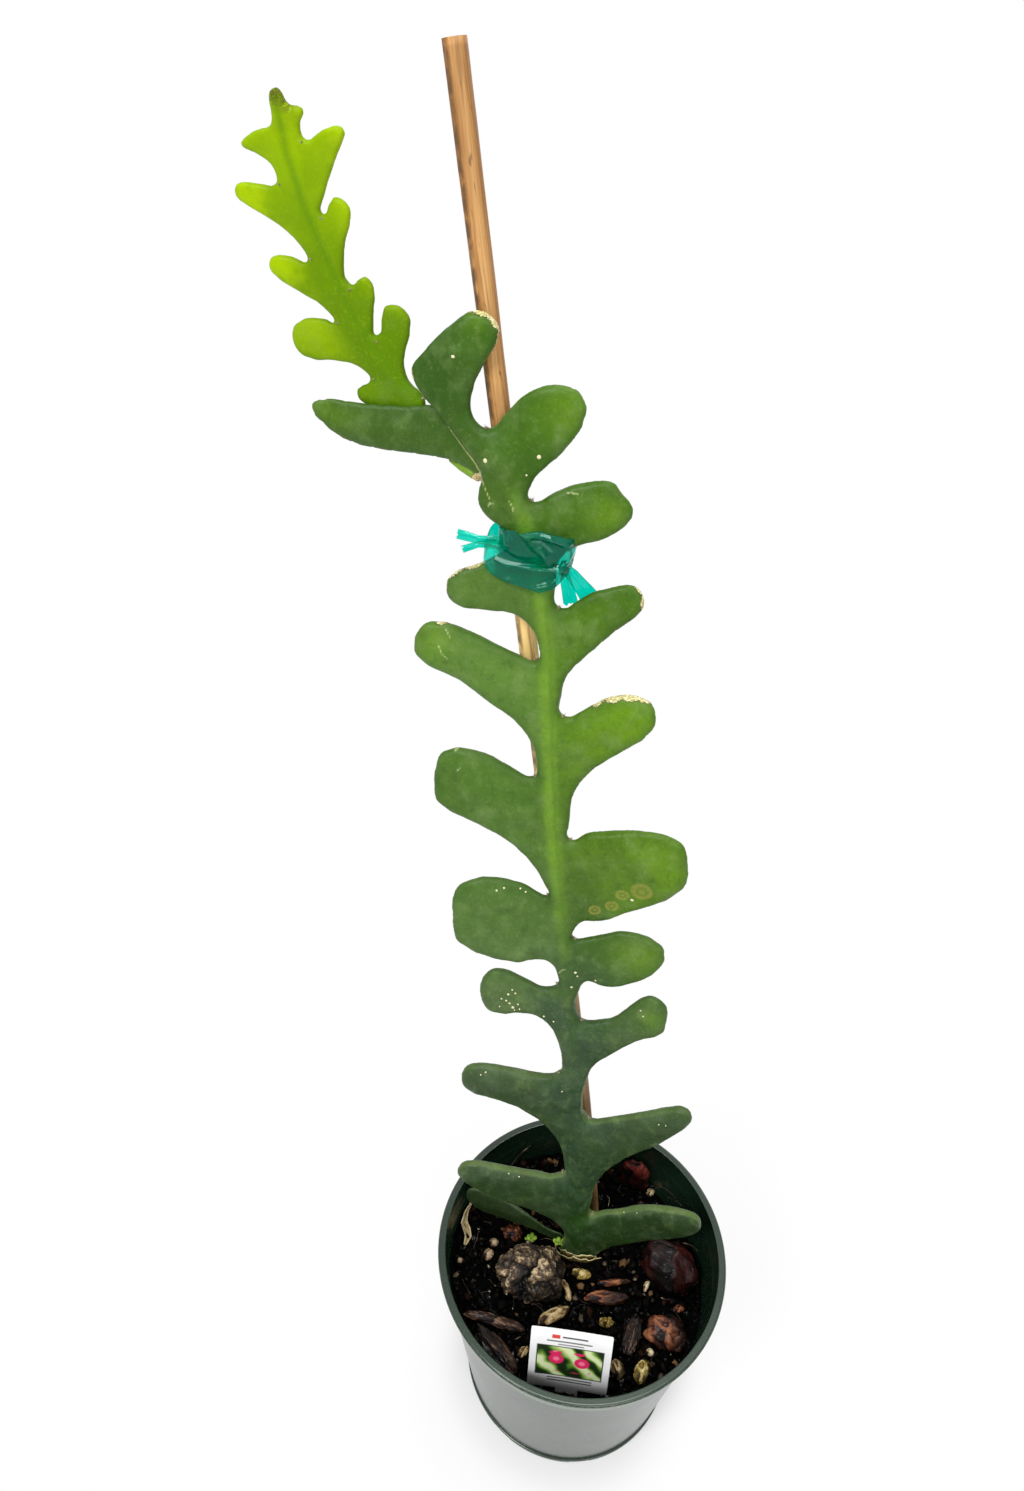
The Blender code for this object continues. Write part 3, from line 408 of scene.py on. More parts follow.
def damp_mix():
    """Nearly black where damp, browner on the dry tips, with a few wet glints."""
    finish = Finish("damp_mix", {"IOR": 1.4, "Specular IOR Level": 0.03, "Coat Roughness": 0.12,
                                 "Coat IOR": 1.4})
    grain = finish.noise(1.6, 6.0, roughness=0.7)
    brown = finish.ramp(grain, (0.30, 1, 1, 1), (0.62, 4, 3, 3), (0.76, 16, 11, 9), (0.90, 60, 44, 32))
    wet = finish.noise(5, 4.0, roughness=0.7).between(0.56, 0.66)
    roughness = finish.noise(3, 2.0).between(0.4, 0.6) * 0.35 + 0.5
    return finish.done(brown, roughness, grain * 0.7 + finish.cells(1.3) * 0.5, 0.9, coat=wet * 0.3)


add_piece("mix_bed", mix_bed(), damp_mix(), "potting_mix", "potting_mix")

rng = random.Random(11)


def spot_on_mix(margin=2.0):
    """A random place on the mix, as x and y, kept off the wall and the stem's foot."""
    while True:
        x, y = rng.uniform(-75, 75), rng.uniform(-75, 75)
        if math.hypot(x, y) < wall_radius(mix_level(x, y)) - margin and math.hypot(x / 16, (y - 8) / 7) > 1:
            return x, y


def crumb_kinds(count):
    """Balls pushed in and out by noise; every crumb of the mix is one of these, turned and scaled."""
    kinds = []
    for _ in range(count):
        bm = bmesh.new()
        bm.verts.layers.float.new("tone")
        bmesh.ops.create_icosphere(bm, subdivisions=2, radius=0.5)
        seed = Vector((rng.uniform(0, 99), rng.uniform(0, 99), rng.uniform(0, 99)))
        for vert in bm.verts:
            vert.co *= 1.0 + 0.6 * noise.noise(vert.co * 3.4 + seed)
        kinds.append(mesh_of("crumb", bm))
    return kinds


def crumbs(kinds, heap):
    """Many crumbs in one mesh; a heap lists x, y, size, flatness, tone and how far each is sunk."""
    bm = bmesh.new()
    bm.verts.layers.float.new("tone")
    for x, y, size, flatness, tone, sunk in heap:
        crumb = rng.choice(kinds)
        turn = Euler([rng.gauss(0, 0.5), rng.gauss(0, 0.5), rng.uniform(0, math.tau)])
        scale = Matrix.Diagonal((size, size * rng.uniform(0.5, 0.9), size * flatness, 1))
        lift = mix_height(x, y) + size * (0.5 - sunk)
        place = Matrix.Scale(MM, 4) @ Matrix.Translation((x, y, lift)) @ turn.to_matrix().to_4x4() @ scale
        crumb.attributes["tone"].data.foreach_set("value", [tone] * len(crumb.vertices))
        crumb.transform(place)
        bm.from_mesh(crumb)
        crumb.transform(place.inverted())
    return bm


def heap_of(count, sizes, flatness, sunk):
    """A random heap; about one crumb in seven is larger than the sizes given, by up to 60%."""
    heap = []
    for _ in range(count):
        size = rng.uniform(*sizes) if rng.random() < 0.85 else sizes[1] * rng.uniform(1.0, 1.6)
        heap.append((*spot_on_mix(), size, rng.uniform(*flatness), rng.random(), sunk))
    return heap


def crumb_bark():
    """Composted bark: mostly black, some dark red-brown, a few pieces dried to tan."""
    finish = Finish("crumb_bark", {"IOR": 1.4, "Specular IOR Level": 0.04, "Coat Roughness": 0.15,
                                   "Coat IOR": 1.4})
    grain = finish.noise(0.9, 5.0, roughness=0.7)
    brown = finish.ramp(finish.stored("tone"), (0.0, 1, 1, 1), (0.70, 5, 4, 3), (0.89, 18, 11, 8),
                        (0.955, 46, 28, 19), (0.99, 120, 90, 58))
    brown = finish.tint(brown, (grain.between(0.40, 0.70) * 0.7, 1, 1, 1))
    wet = finish.noise(4, 4.0, roughness=0.7).between(0.55, 0.64)
    return finish.done(brown, grain * 0.6 + 0.20, grain, 0.5, coat=wet * 0.35)


def pale_grit():
    """Grains of perlite, sand and grit, off-white to tan, dirtied by the mix."""
    finish = Finish("pale_grit", {"IOR": 1.45})
    pale = finish.ramp(finish.stored("tone"), (0.0, 50, 36, 24), (0.3, 82, 70, 54), (0.5, 108, 92, 64),
                       (0.8, 146, 128, 96), (1.0, 206, 200, 184))
    dirt = finish.noise(0.7, 4.0).between(0.45, 0.62)
    pale = finish.tint(pale, (dirt * 0.6, 30, 24, 18))
    return finish.done(pale, dirt * 0.2 + 0.6, dirt, 0.2)


# Single grains that can be told apart: x and y, size and tone
LOOSE_GRAINS = [
    (-70, -14, 3.4, 0.8), (-68.6, -22, 4.4, 0.5), (-51.3, -12, 3.0, 0.85), (-57.3, -6.4, 1.6, 1.0),
    (-73.4, -19.3, 1.7, 1.0), (-51.9, -37.7, 3.0, 0.8), (-38, -24.2, 1.6, 1.0), (-33.5, -31.6, 1.8, 1.0),
    (0.7, -17.2, 4.2, 0.35), (5.7, -27.2, 5.0, 0.22), (15.2, 5.5, 3.8, 0.35), (28.5, 12.7, 4.2, 0.3),
    (31.8, 7.3, 4.0, 0.4), (33.5, 3.5, 2.6, 0.7), (39.9, -3.7, 2.6, 0.9), (53, -46, 4.8, 0.2),
    (45.7, -41.5, 2.6, 0.9), (22.6, -18.8, 1.8, 0.9), (16.4, -20.4, 1.6, 0.9), (25, -52.5, 2.2, 0.9),
    (-23.7, 62.3, 3.2, 0.3), (-62, 8, 1.4, 1.0), (-48, -26, 1.5, 0.9), (-36, 3, 1.2, 1.0),
    (8, -46, 1.5, 1.0), (50, -52, 1.4, 0.9), (65, -18, 1.4, 0.8), (12, 36, 1.5, 0.7), (42, 40, 1.8, 0.7)]
GRAIN_SCALE, GRAIN_FLATNESS, GRAIN_SUNK = 0.9, 0.6, 0.3

bark_kinds = crumb_kinds(14)
bark_heap = heap_of(1300, sizes=(1.6, 4.8), flatness=(0.35, 0.8), sunk=0.30)
add_piece("mix_crumbs", crumbs(bark_kinds, bark_heap), crumb_bark(), "potting_mix")
grains = heap_of(150, sizes=(0.4, 1.0), flatness=(0.6, 0.9), sunk=0.25)
grains += [(x, y, GRAIN_SCALE * size, GRAIN_FLATNESS, tone, GRAIN_SUNK) for x, y, size, tone in LOOSE_GRAINS]
add_piece("mix_grit", crumbs(crumb_kinds(8), grains), pale_grit(), "grit")


def strands(routes):
    """Thin tapering strands in one mesh; a route is its points and its thickness, in millimetres."""
    curve = bpy.data.curves.new("strands", "CURVE")
    curve.dimensions = "3D"
    curve.bevel_depth = 0.5 * MM
    curve.bevel_resolution = 1
    curve.use_fill_caps = True
    for route, thickness in routes:
        spline = curve.splines.new("NURBS")
        spline.points.add(len(route) - 1)
        spline.use_endpoint_u = True
        spline.order_u = 3
        spline.resolution_u = 4
        for step, (item, point) in enumerate(zip(spline.points, route)):
            item.co = (*(Vector(point) * MM), 1.0)
            item.radius = thickness * (1.0 - 0.6 * step / len(route))
    return with_modifiers(curve)


def loose_roots(count):
    """Routes of short dead roots that wander over the mix and dip into it."""
    routes = []
    for _ in range(count):
        x, y = spot_on_mix(6.0)
        heading = rng.uniform(0, math.tau)
        route = []
        for step in range(rng.randint(4, 7)):
            lift = rng.uniform(-0.2, 1.3) if 0 < step else -0.8
            route.append((x, y, mix_height(x, y) + lift))
            heading += rng.gauss(0, 0.45)
            reach = rng.uniform(1.4, 3.4)
            x, y = x + reach * math.cos(heading), y + reach * math.sin(heading)
            if math.hypot(x, y) > wall_radius(mix_level(x, y)) - 2:
                break
        if len(route) > 3:
            routes.append((route, rng.uniform(0.3, 0.75)))
    return routes


def dry_root():
    """Dead roots and stalks, straw-coloured to dark brown, ribbed along their length."""
    finish = Finish("dry_root", {"IOR": 1.4})
    straw = finish.ramp(finish.noise(7, 3.0), (0.38, 16, 11, 9), (0.56, 58, 43, 31), (0.70, 160, 142, 112))
    grain = finish.noise(0.5, 3.0)
    return finish.done(straw, grain * 0.3 + 0.5, grain, 0.2)


# Roots that stick to the pot's wall: points along each, and its thickness
WALL_ROOTS = [
    ([(-53, 49, 112), (-51, 53, 118), (-46, 58.5, 124), (-41, 61, 129.5)], 1.0),
    ([(37, 61, 111), (42, 60, 116), (48, 56.5, 119), (53, 53, 117)], 0.9),
    ([(48, 55, 113), (53, 51.5, 119), (56.5, 47, 121)], 0.8),
    ([(60, 31, 108), (65.5, 29, 113), (68.5, 25, 114)], 0.8),
]
add_piece("dead_roots", strands(loose_roots(110) + WALL_ROOTS), dry_root(), "dry_leaf")

# Bark, twigs and pebbles -------------------------------------------------------------------------
# Larger pieces that lie on the mix: one grey weathered bark nugget with plates like scales, flat
# red-brown chips, fibrous brown chunks, tan splinters and worn pebbles. Each is half bedded in.

# The noise that warps the lumps would otherwise start from the clock
CRUMPLE_SEED = 12
noise.seed_set(CRUMPLE_SEED)


def merged_copy(node):
    """A bmesh copy of a CAD node, whose loose triangles are joined at their shared corners."""
    bm = bmesh.new()
    bm.from_mesh(frame["nodes"][node].data)
    bmesh.ops.remove_doubles(bm, verts=bm.verts, dist=0.005 * MM)
    bmesh.ops.dissolve_degenerate(bm, dist=0.002 * MM, edges=bm.edges)
    return bm


def remeshed(name, bm, voxel):
    """A shape rebuilt with small even faces, about voxel millimetres across."""
    return with_modifiers(mesh_of(name, bm), ("REMESH", {"mode": "VOXEL", "voxel_size": voxel * MM}))


def smoothed(mesh, passes):
    """A bmesh of the mesh, with each point drawn towards its neighbours in every pass."""
    bm = bmesh.new()
    bm.from_mesh(mesh)
    for _ in range(passes):
        bmesh.ops.smooth_vert(bm, verts=bm.verts, factor=0.5,
                              use_axis_x=True, use_axis_y=True, use_axis_z=True)
    bm.normal_update()
    return bm


def limited(value):
    """The value, kept between 0 and 1."""
    return min(1.0, max(0.0, value))


def rough_chip(node, voxel, lump, relief, fibre, lit_dry_side, dried):
    """A CAD lump rebuilt finely and broken up: knobbly where fibre is 0, split along its length at 1.

    It is paler towards one side, as drier bark and as painted light there, and darker all over as dried
    falls, as damp bark and as painted shade."""
    mesh = remeshed(node, merged_copy(node), voxel)
    points = points_of(mesh) / MM
    centre = Vector(points.mean(0))
    grain_axis = Vector(np.linalg.svd(points - points.mean(0), full_matrices=False)[2][0])
    half_span = np.abs((points - points.mean(0)) @ np.array(lit_dry_side)).max()
    bm = smoothed(mesh, 3)
    depth = bm.verts.layers.float.new("depth")
    dry = bm.verts.layers.float.new("dry")
    grain = bm.verts.layers.float_vector.new("grain")
    moves = []
    for vert in bm.verts:
        local = vert.co / MM - centre
        across = local - grain_axis * local.dot(grain_axis) * 0.88 * fibre
        warp = noise.noise_vector(across / lump * 1.1) * 0.45 + noise.noise_vector(across / lump * 2.7) * 0.16
        cell = across / lump + warp
        near, sites = noise.voronoi(cell)
        small, flakes = noise.voronoi(cell * 2.7)
        crease = min(1.0, (near[1] - near[0]) * 6.0)
        facet = (cell - sites[0]).dot(noise.noise_vector(sites[0] * 5.3)) * 3.0
        flake = (cell * 2.7 - flakes[0]).dot(noise.noise_vector(flakes[0] * 5.3))
        ridges = 1.0 - 2.2 * abs(noise.noise(across / lump * 1.9 + Vector((4, 4, 4))))
        fine = noise.fractal(across / lump * 5.0, 1.0, 2.1, 3)
        swell = 0.9 - 1.4 * near[0] ** 2
        move = relief * (0.30 * swell + 0.26 * crease - 0.30 + 0.60 * facet + 0.42 * flake + 0.12 * ridges
                         - 0.16 * (small[0] ** 2) + 0.16 * fine)
        # depth is low in creases and high on swells, facets and ridges: it darkens creases as painted shade
        # and pales high places as painted highlight
        vert[depth] = (0.24 * crease + 0.14 * ridges + 0.26 * swell + 0.44 * facet + 0.60 * flake
                       - 0.20 * small[0] + 0.30 * fine + 0.30)
        # Paler towards the given side: partly drier bark, partly painted light on the side towards the lamps
        side = local.dot(Vector(lit_dry_side)) / half_span
        vert[dry] = limited(dried + 0.65 * side + 0.35 * noise.noise(local / lump * 0.8))
        vert[grain] = across * MM
        moves.append(vert.normal * move * MM)
    for vert, move in zip(bm.verts, moves):
        vert.co += move
    return bm


def bark(name, crack, body, high, painted_glint):
    """Bark: dark in its creases, partly its own colour and partly painted shade; darker on its damp, shaded
    side; paler on its ridges as painted highlight; streaked along its grain.
    """
    finish = Finish(name, {"IOR": 1.45, "Specular IOR Level": 0.15, "Coat Weight": 0.25,
                           "Coat Roughness": 0.22})
    place = finish.stored("grain", "Vector")
    dry = finish.stored("dry")
    grain = finish.noise(1.3, 7.0, place, 0.72)
    streak = finish.noise(0.5, 4.0, place, 0.65)
    tone = finish.stored("depth") * 0.85 + (grain - 0.5) * 1.5 + (streak - 0.5) * 0.7 + 0.01
    colour = finish.ramp(tone, (0.12, *crack), (0.40, *body), (0.66, *high), (0.94, *painted_glint))
    # A darker copy for the damp side: damp bark and painted shade together
    shaded_damp_colour = finish.tint(colour, (0.86, 2, 1, 1))
    colour = finish.mix(dry.between(0.36, 0.66), shaded_damp_colour, colour)
    return finish.done(colour, dry * 0.3 + streak * 0.25 + 0.30, grain * 0.8 + streak * 0.6, 0.7)


# The colour of each kind in its cracks, darkened as painted shade, over its body, on its high places, paled
# as painted highlight, and at its painted glints, where it is palest
BARKS = {
    "grey": bark("weathered_bark", (8, 5, 4), (50, 39, 30), (98, 80, 61), (208, 184, 144)),
    "red": bark("red_bark", (8, 3, 3), (42, 12, 11), (92, 28, 22), (124, 50, 38)),
    "rust": bark("rusty_bark", (12, 6, 5), (58, 26, 16), (100, 50, 30), (158, 102, 66)),
    "brown": bark("brown_bark", (4, 2, 2), (26, 14, 10), (58, 35, 24), (132, 104, 82)),
    "tan": bark("tan_wood", (34, 22, 12), (96, 72, 42), (150, 122, 78), (206, 184, 136)),
    "olive": bark("olive_wood", (44, 34, 8), (104, 82, 22), (146, 122, 46), (212, 196, 140)),
    "grit": bark("brown_grit", (28, 19, 14), (84, 62, 45), (126, 102, 76), (180, 160, 128)),
    "straw": bark("dry_leaf", (74, 56, 36), (140, 118, 80), (190, 170, 126), (226, 212, 176)),
}
UP, BACK_RIGHT, LEFT, RIGHT = (0, 0, 1), (0.45, 0.6, 0.66), (-0.8, -0.4, 0.4), (0.9, 0, 0.4)
# Kind of bark; grid size, lump size and relief in millimetres; how fibrous it is, its dry side, which is also
# its painted lit side, and how dry it is; where it is damp it is also painted shade
CHIPS = {
    "bark_nugget_grey": ("grey", 0.40, 13.0, 2.9, 0.0, (-0.3, 0.2, 0.9), 0.60),
    "bark_chunk_right": ("red", 0.44, 15.0, 1.2, 0.4, BACK_RIGHT, -0.06),
    "bark_chip_front_right": ("rust", 0.38, 11.0, 1.1, 0.2, LEFT, 0.50),
    "bark_chip_back": ("red", 0.38, 12.0, 1.0, 0.3, UP, 0.25),
    "bark_chunk_left": ("brown", 0.36, 4.0, 1.4, 0.88, RIGHT, 0.55),
    "bark_slab_left": ("brown", 0.36, 3.4, 0.8, 0.9, UP, 0.6),
    "bark_sliver_tan": ("rust", 0.25, 4.0, 0.6, 0.9, (-0.7, 0, 0.7), 0.55),
    "bark_sliver_brown": ("rust", 0.28, 5.0, 0.9, 0.85, (-0.8, 0, 0.6), 0.40),
    "twig_thin": ("tan", 0.25, 5.0, 0.5, 0.8, UP, 0.6),
    "twig_flat": ("tan", 0.28, 6.0, 0.8, 0.7, UP, 0.5),
    "wood_bit_yellow": ("olive", 0.25, 8.0, 0.4, 0.2, UP, 0.6),
    "wood_lump_red": ("rust", 0.28, 4.0, 0.8, 0.1, UP, 0.5),
    "pebble_left": ("grit", 0.25, 7.0, 0.3, 0.0, UP, 0.5),
    "pebble_left_small": ("grit", 0.25, 7.0, 0.3, 0.0, UP, 0.4),
    "pebble_edge": ("grit", 0.25, 6.0, 0.2, 0.0, UP, 0.6),
    "pebble_right": ("straw", 0.25, 6.0, 0.2, 0.0, UP, 0.5),
    "wood_bit_front": ("olive", 0.25, 6.0, 0.8, 0.5, (-0.6, 0, 0.8), 0.42),
    "wood_bit_dark": ("tan", 0.25, 5.0, 0.7, 0.8, (-0.6, 0, 0.8), 0.30),
    "wood_bit_right": ("rust", 0.25, 3.0, 0.6, 0.5, UP, 0.5),
    "wood_bit_left": ("tan", 0.25, 3.0, 0.7, 0.5, UP, 0.5),
    "wood_strip_dark": ("brown", 0.28, 2.2, 0.5, 0.95, UP, 0.25),
    "pebble_back": ("straw", 0.25, 3.0, 0.7, 0.2, UP, 0.5),
    "pebble_middle": ("olive", 0.25, 2.4, 0.9, 0.0, UP, 0.5),
    "root_bit_pale": ("straw", 0.25, 4.0, 0.4, 0.4, UP, 0.55),
}

record_slots = {entry["node"]: entry["material_slot"] for entry in frame["record"]["subparts"]}
for chip, (kind, *making) in CHIPS.items():
    add_piece(chip + "_rough", rough_chip(chip, *making), BARKS[kind], record_slots[chip], chip)

# The dead leaf's middle line, as x, y, height above the mix and width there
LEAF_LINE = [(-69.4, 21.7, 3.0, 0.8), (-71.4, 14.3, 2.6, 2.6), (-71.2, 8.6, 2.0, 4.2), (-68.9, 5.4, 1.4, 4.4),
             (-66.8, 1.2, 1.6, 4.0), (-67.4, -4.6, 2.2, 1.6)]


def on_route(share, points):
    """The values at a share of the way along evenly spaced points."""
    stations = np.linspace(0.0, 1.0, len(points))
    return [float(np.interp(share, stations, column)) for column in zip(*points)]


def thickened(name, bm, thickness, *more_modifiers):
    """A sheet made solid, half of its thickness to either side."""
    solid = ("SOLIDIFY", {"thickness": thickness * MM, "offset": 0.0})
    return with_modifiers(mesh_of(name, bm), solid, *more_modifiers)


def curled_leaf():
    """A dry strip of leaf: a grid laid along its line, its edges curled up and its blade twisted."""
    bm = bmesh.new()
    layers = {name: bm.verts.layers.float.new(name) for name in ("depth", "dry")}
    grain = bm.verts.layers.float_vector.new("grain")
    bmesh.ops.create_grid(bm, x_segments=70, y_segments=14, size=0.5)
    for vert in bm.verts:
        along, side = vert.co.x + 0.5, vert.co.y
        x, y, lift, width = on_route(along, LEAF_LINE)
        twist = 0.5 * math.sin(5.0 * along)
        across = Vector((math.cos(twist), 0.2, math.sin(twist)))
        curl = 4.0 * side * side + 0.25 * wobble(along * 9, side * 3, 1)
        place = Vector((x, y, mix_level(x, y) + lift)) + across * side * width + Vector((0, 0, curl))
        vert[layers["depth"]] = 0.45 + 0.9 * abs(side) + 0.3 * wobble(along * 7, side * 4, 6)
        vert[layers["dry"]] = 1.0
        vert[grain] = Vector((side * width, along * 3, 0)) * MM
        vert.co = place * MM
    return thickened("curled_leaf", bm, 0.35)


add_piece("curled_leaf", curled_leaf(), BARKS["straw"], "dry_leaf", "dead_leaf")

# Main stem ---------------------------------------------------------------------------------------
# One flat, fleshy stem that grew lobe by lobe, with a raised midrib and a third wing near the top.
# The skin is waxy, darker below with age and painted shade, yellower at the lobes' ends, and corky where it
# was hurt.

# Points along the midrib, as x and height
MIDRIB = [(0, 80), (0, 114), (-4, 163.5), (-7, 203), (-12, 238), (-17, 267.5), (-22, 302), (-26, 327),
          (-31, 361.5), (-36, 391), (-40, 416), (-43, 441), (-46, 470.5), (-49, 500), (-53, 525),
          (-58, 545), (-65, 562), (-74, 578), (-82, 592), (-88, 605), (-90, 625)]
SKIN_FOOT, SKIN_RISE = 110.0, 520.0     # where the skin comes out of the mix, and how far it goes up


def grown_skin(node, voxel, plump, passes):
    """A CAD stem plumped out a little, rebuilt as a fine even skin, and rounded by smoothing."""
    bm = merged_copy(node)
    bm.normal_update()
    for vert, normal in [(vert, vert.normal.copy()) for vert in bm.verts]:
        vert.co += normal * plump * MM
    return smoothed(remeshed(node, bm, voxel), passes)


def tree_of(verts):
    """A search tree of points."""
    tree = kdtree.KDTree(len(verts))
    for index, vert in enumerate(verts):
        tree.insert(vert.co, index)
    tree.balance()
    return tree


def distance_from_rim(bm):
    """How far each point lies from the blade's rim, where the skin turns from front to back."""
    tree = tree_of([vert for vert in bm.verts if abs(vert.normal.y) < 0.5])
    return [tree.find(vert.co)[2] / MM for vert in bm.verts]


def bell(distance, width):
    """1 at no distance, and falling away smoothly over the width."""
    return math.exp(-(distance / width) ** 2)


def across_midrib(point, midrib):
    """Sideways distance of a point from a stem's midrib, in millimetres, positive to the right."""
    x, z = point.x / MM, point.z / MM
    return x - float(np.interp(z, [p[1] for p in midrib], [p[0] for p in midrib]))


# The main stem is plumper below PLUMP_TOP and shrinks where it is buried, each over its run
PLUMP_TOP, PLUMP_RUN = 330.0, 90.0
BURIED_TOP, BURIED_RUN = 136.0, 22.0
RIM_ROUND = 5.0               # how far in from its rim a blade is still rounding off


def shape_blade(bm, midrib, swell, rib, rib_width, sway, tied=(0, 1)):
    """Swells the blade away from its rim, raises the midrib, and lets the lobes sway and ripple.

    tied is the height that a tie holds flatter, and how far up and down it does, in millimetres."""
    rim = distance_from_rim(bm)
    layers = [bm.verts.layers.float.new(name) for name in ("rim", "reach", "ridge")]
    moves = []
    for vert, edge in zip(bm.verts, rim):
        point = vert.co / MM
        reach = across_midrib(vert.co, midrib)
        ridge = bell(reach, rib_width)
        groove = bell(abs(reach) - 2.3 * rib_width, rib_width)
        inside = 1.0 - math.exp(-edge / RIM_ROUND)
        plump = swell * (1.0 + 0.8 * limited((PLUMP_TOP - point.z) / PLUMP_RUN))
        buried = limited((BURIED_TOP - point.z) / BURIED_RUN)
        plump = plump * (1.0 - buried) - 1.6 * buried
        ripple = (0.80 * noise.noise(point / 20) + 0.50 * noise.noise(point / 8)
                  + 0.16 * noise.noise(point / 3.6))
        loose = 1.0 - 0.75 * bell(point.z - tied[0], tied[1])
        move = vert.normal * inside * loose * (plump + rib * (ridge - 0.45 * groove) + swell * ripple)
        far = min(1.0, abs(reach) / 50)
        move += Vector((0.22 * noise.noise(point / 6 + Vector((9, 0, 0))),
                        sway * far * noise.noise(point / 34 + Vector((0, 5, 0))),
                        0.22 * noise.noise(point / 6 + Vector((0, 0, 9)))))
        moves.append(move * MM)
        for layer, value in zip(layers, (edge, reach, ridge)):
            vert[layer] = value
    for vert, move in zip(bm.verts, moves):
        vert.co += move


def spots_near(bm, name, spots):
    """Marks the skin round each spot, given as x, z and radius in millimetres, and its mark, or 1."""
    layer = bm.verts.layers.float.new(name)
    places = np.array([(vert.co.x, vert.co.z) for vert in bm.verts]) / MM
    marks = np.zeros(len(places))
    for x, z, radius, *mark in spots:
        distance = np.hypot(places[:, 0] - x, places[:, 1] - z)
        marks = np.maximum(marks, (mark[0] if mark else 1.0) * np.exp(-(distance / radius) ** 2))
    for vert, mark in zip(bm.verts, marks):
        vert[layer] = float(mark)


# Lobes' ends that are still pale and young, stretches of rim that healed with cork, the ring scars on
# the broad right lobe, scratches, and a painted highlight along the margin that crosses the third wing
PALE_ENDS = [(8, 350, 13, 0.8), (12, 402, 20, 0.8), (-6, 478, 25), (17, 313, 8), (-45, 598, 13),
             (-97, 502, 9), (-146, 590, 14), (-82, 627, 6), (-30, 560, 8), (46, 168, 8),
             (2, 386, 20, 0.5), (-2, 372, 9, 0.8)]
CORKY = [(-91, 522, 5, 0.4), (-87, 528, 5, 0.5), (-80, 532.5, 6, 0.5), (-72, 533, 4, 0.4),
         (-93, 515, 5, 0.4), (-26, 479, 3.5, 0.5), (-20, 482.5, 4.5, 0.8), (-14, 486, 5, 0.9),
         (-8, 486, 4, 0.7), (-14.5, 531, 3, 0.6), (-13.5, 525, 3.5, 0.7), (-16, 520.5, 2.5, 0.5),
         (-81, 625, 4, 0.6), (-75, 623, 4.5, 0.7), (-74, 617, 4, 0.5), (-105.5, 602, 3.5, 0.6),
         (-104.5, 596, 3.5, 0.5), (-75, 337, 2.5, 0.5), (10, 383, 3, 0.5), (-91, 449, 2, 0.6),
         (-92, 422, 2.5, 0.5), (-82, 416.5, 2, 0.5), (-93, 508, 2.5, 0.5), (-80, 567, 3, 0.8)]
RINGS = [(-16.8, 374.6, 2.7), (-9.3, 378.6, 2.9), (-5.1, 386.4, 3.0), (3.2, 391.6, 4.6)]
SCRATCHES = [[(-93.1, 499), (-91.5, 495.5), (-89, 493)], [(-90.5, 506), (-88.5, 503)],
             [(-86, 447), (-83.5, 448.5)], [(-84.5, 438), (-83, 440)],
             [(-67.5, 561), (-66.5, 559.5), (-65.5, 557)], [(-30, 333), (-28.8, 335.8), (-27, 336.5)],
             [(-46, 565.6), (-44, 566), (-42, 565.6)], [(-75.6, 557.7), (-75, 559.4), (-73.5, 559)]]
WING_EDGE_HIGHLIGHT = [(-105.5, 598), (-100, 592.5), (-94.8, 586.5), (-90.5, 581.5), (-86.3, 576.7), (-82.3, 572),
               (-79, 567.5), (-75, 560.5)]


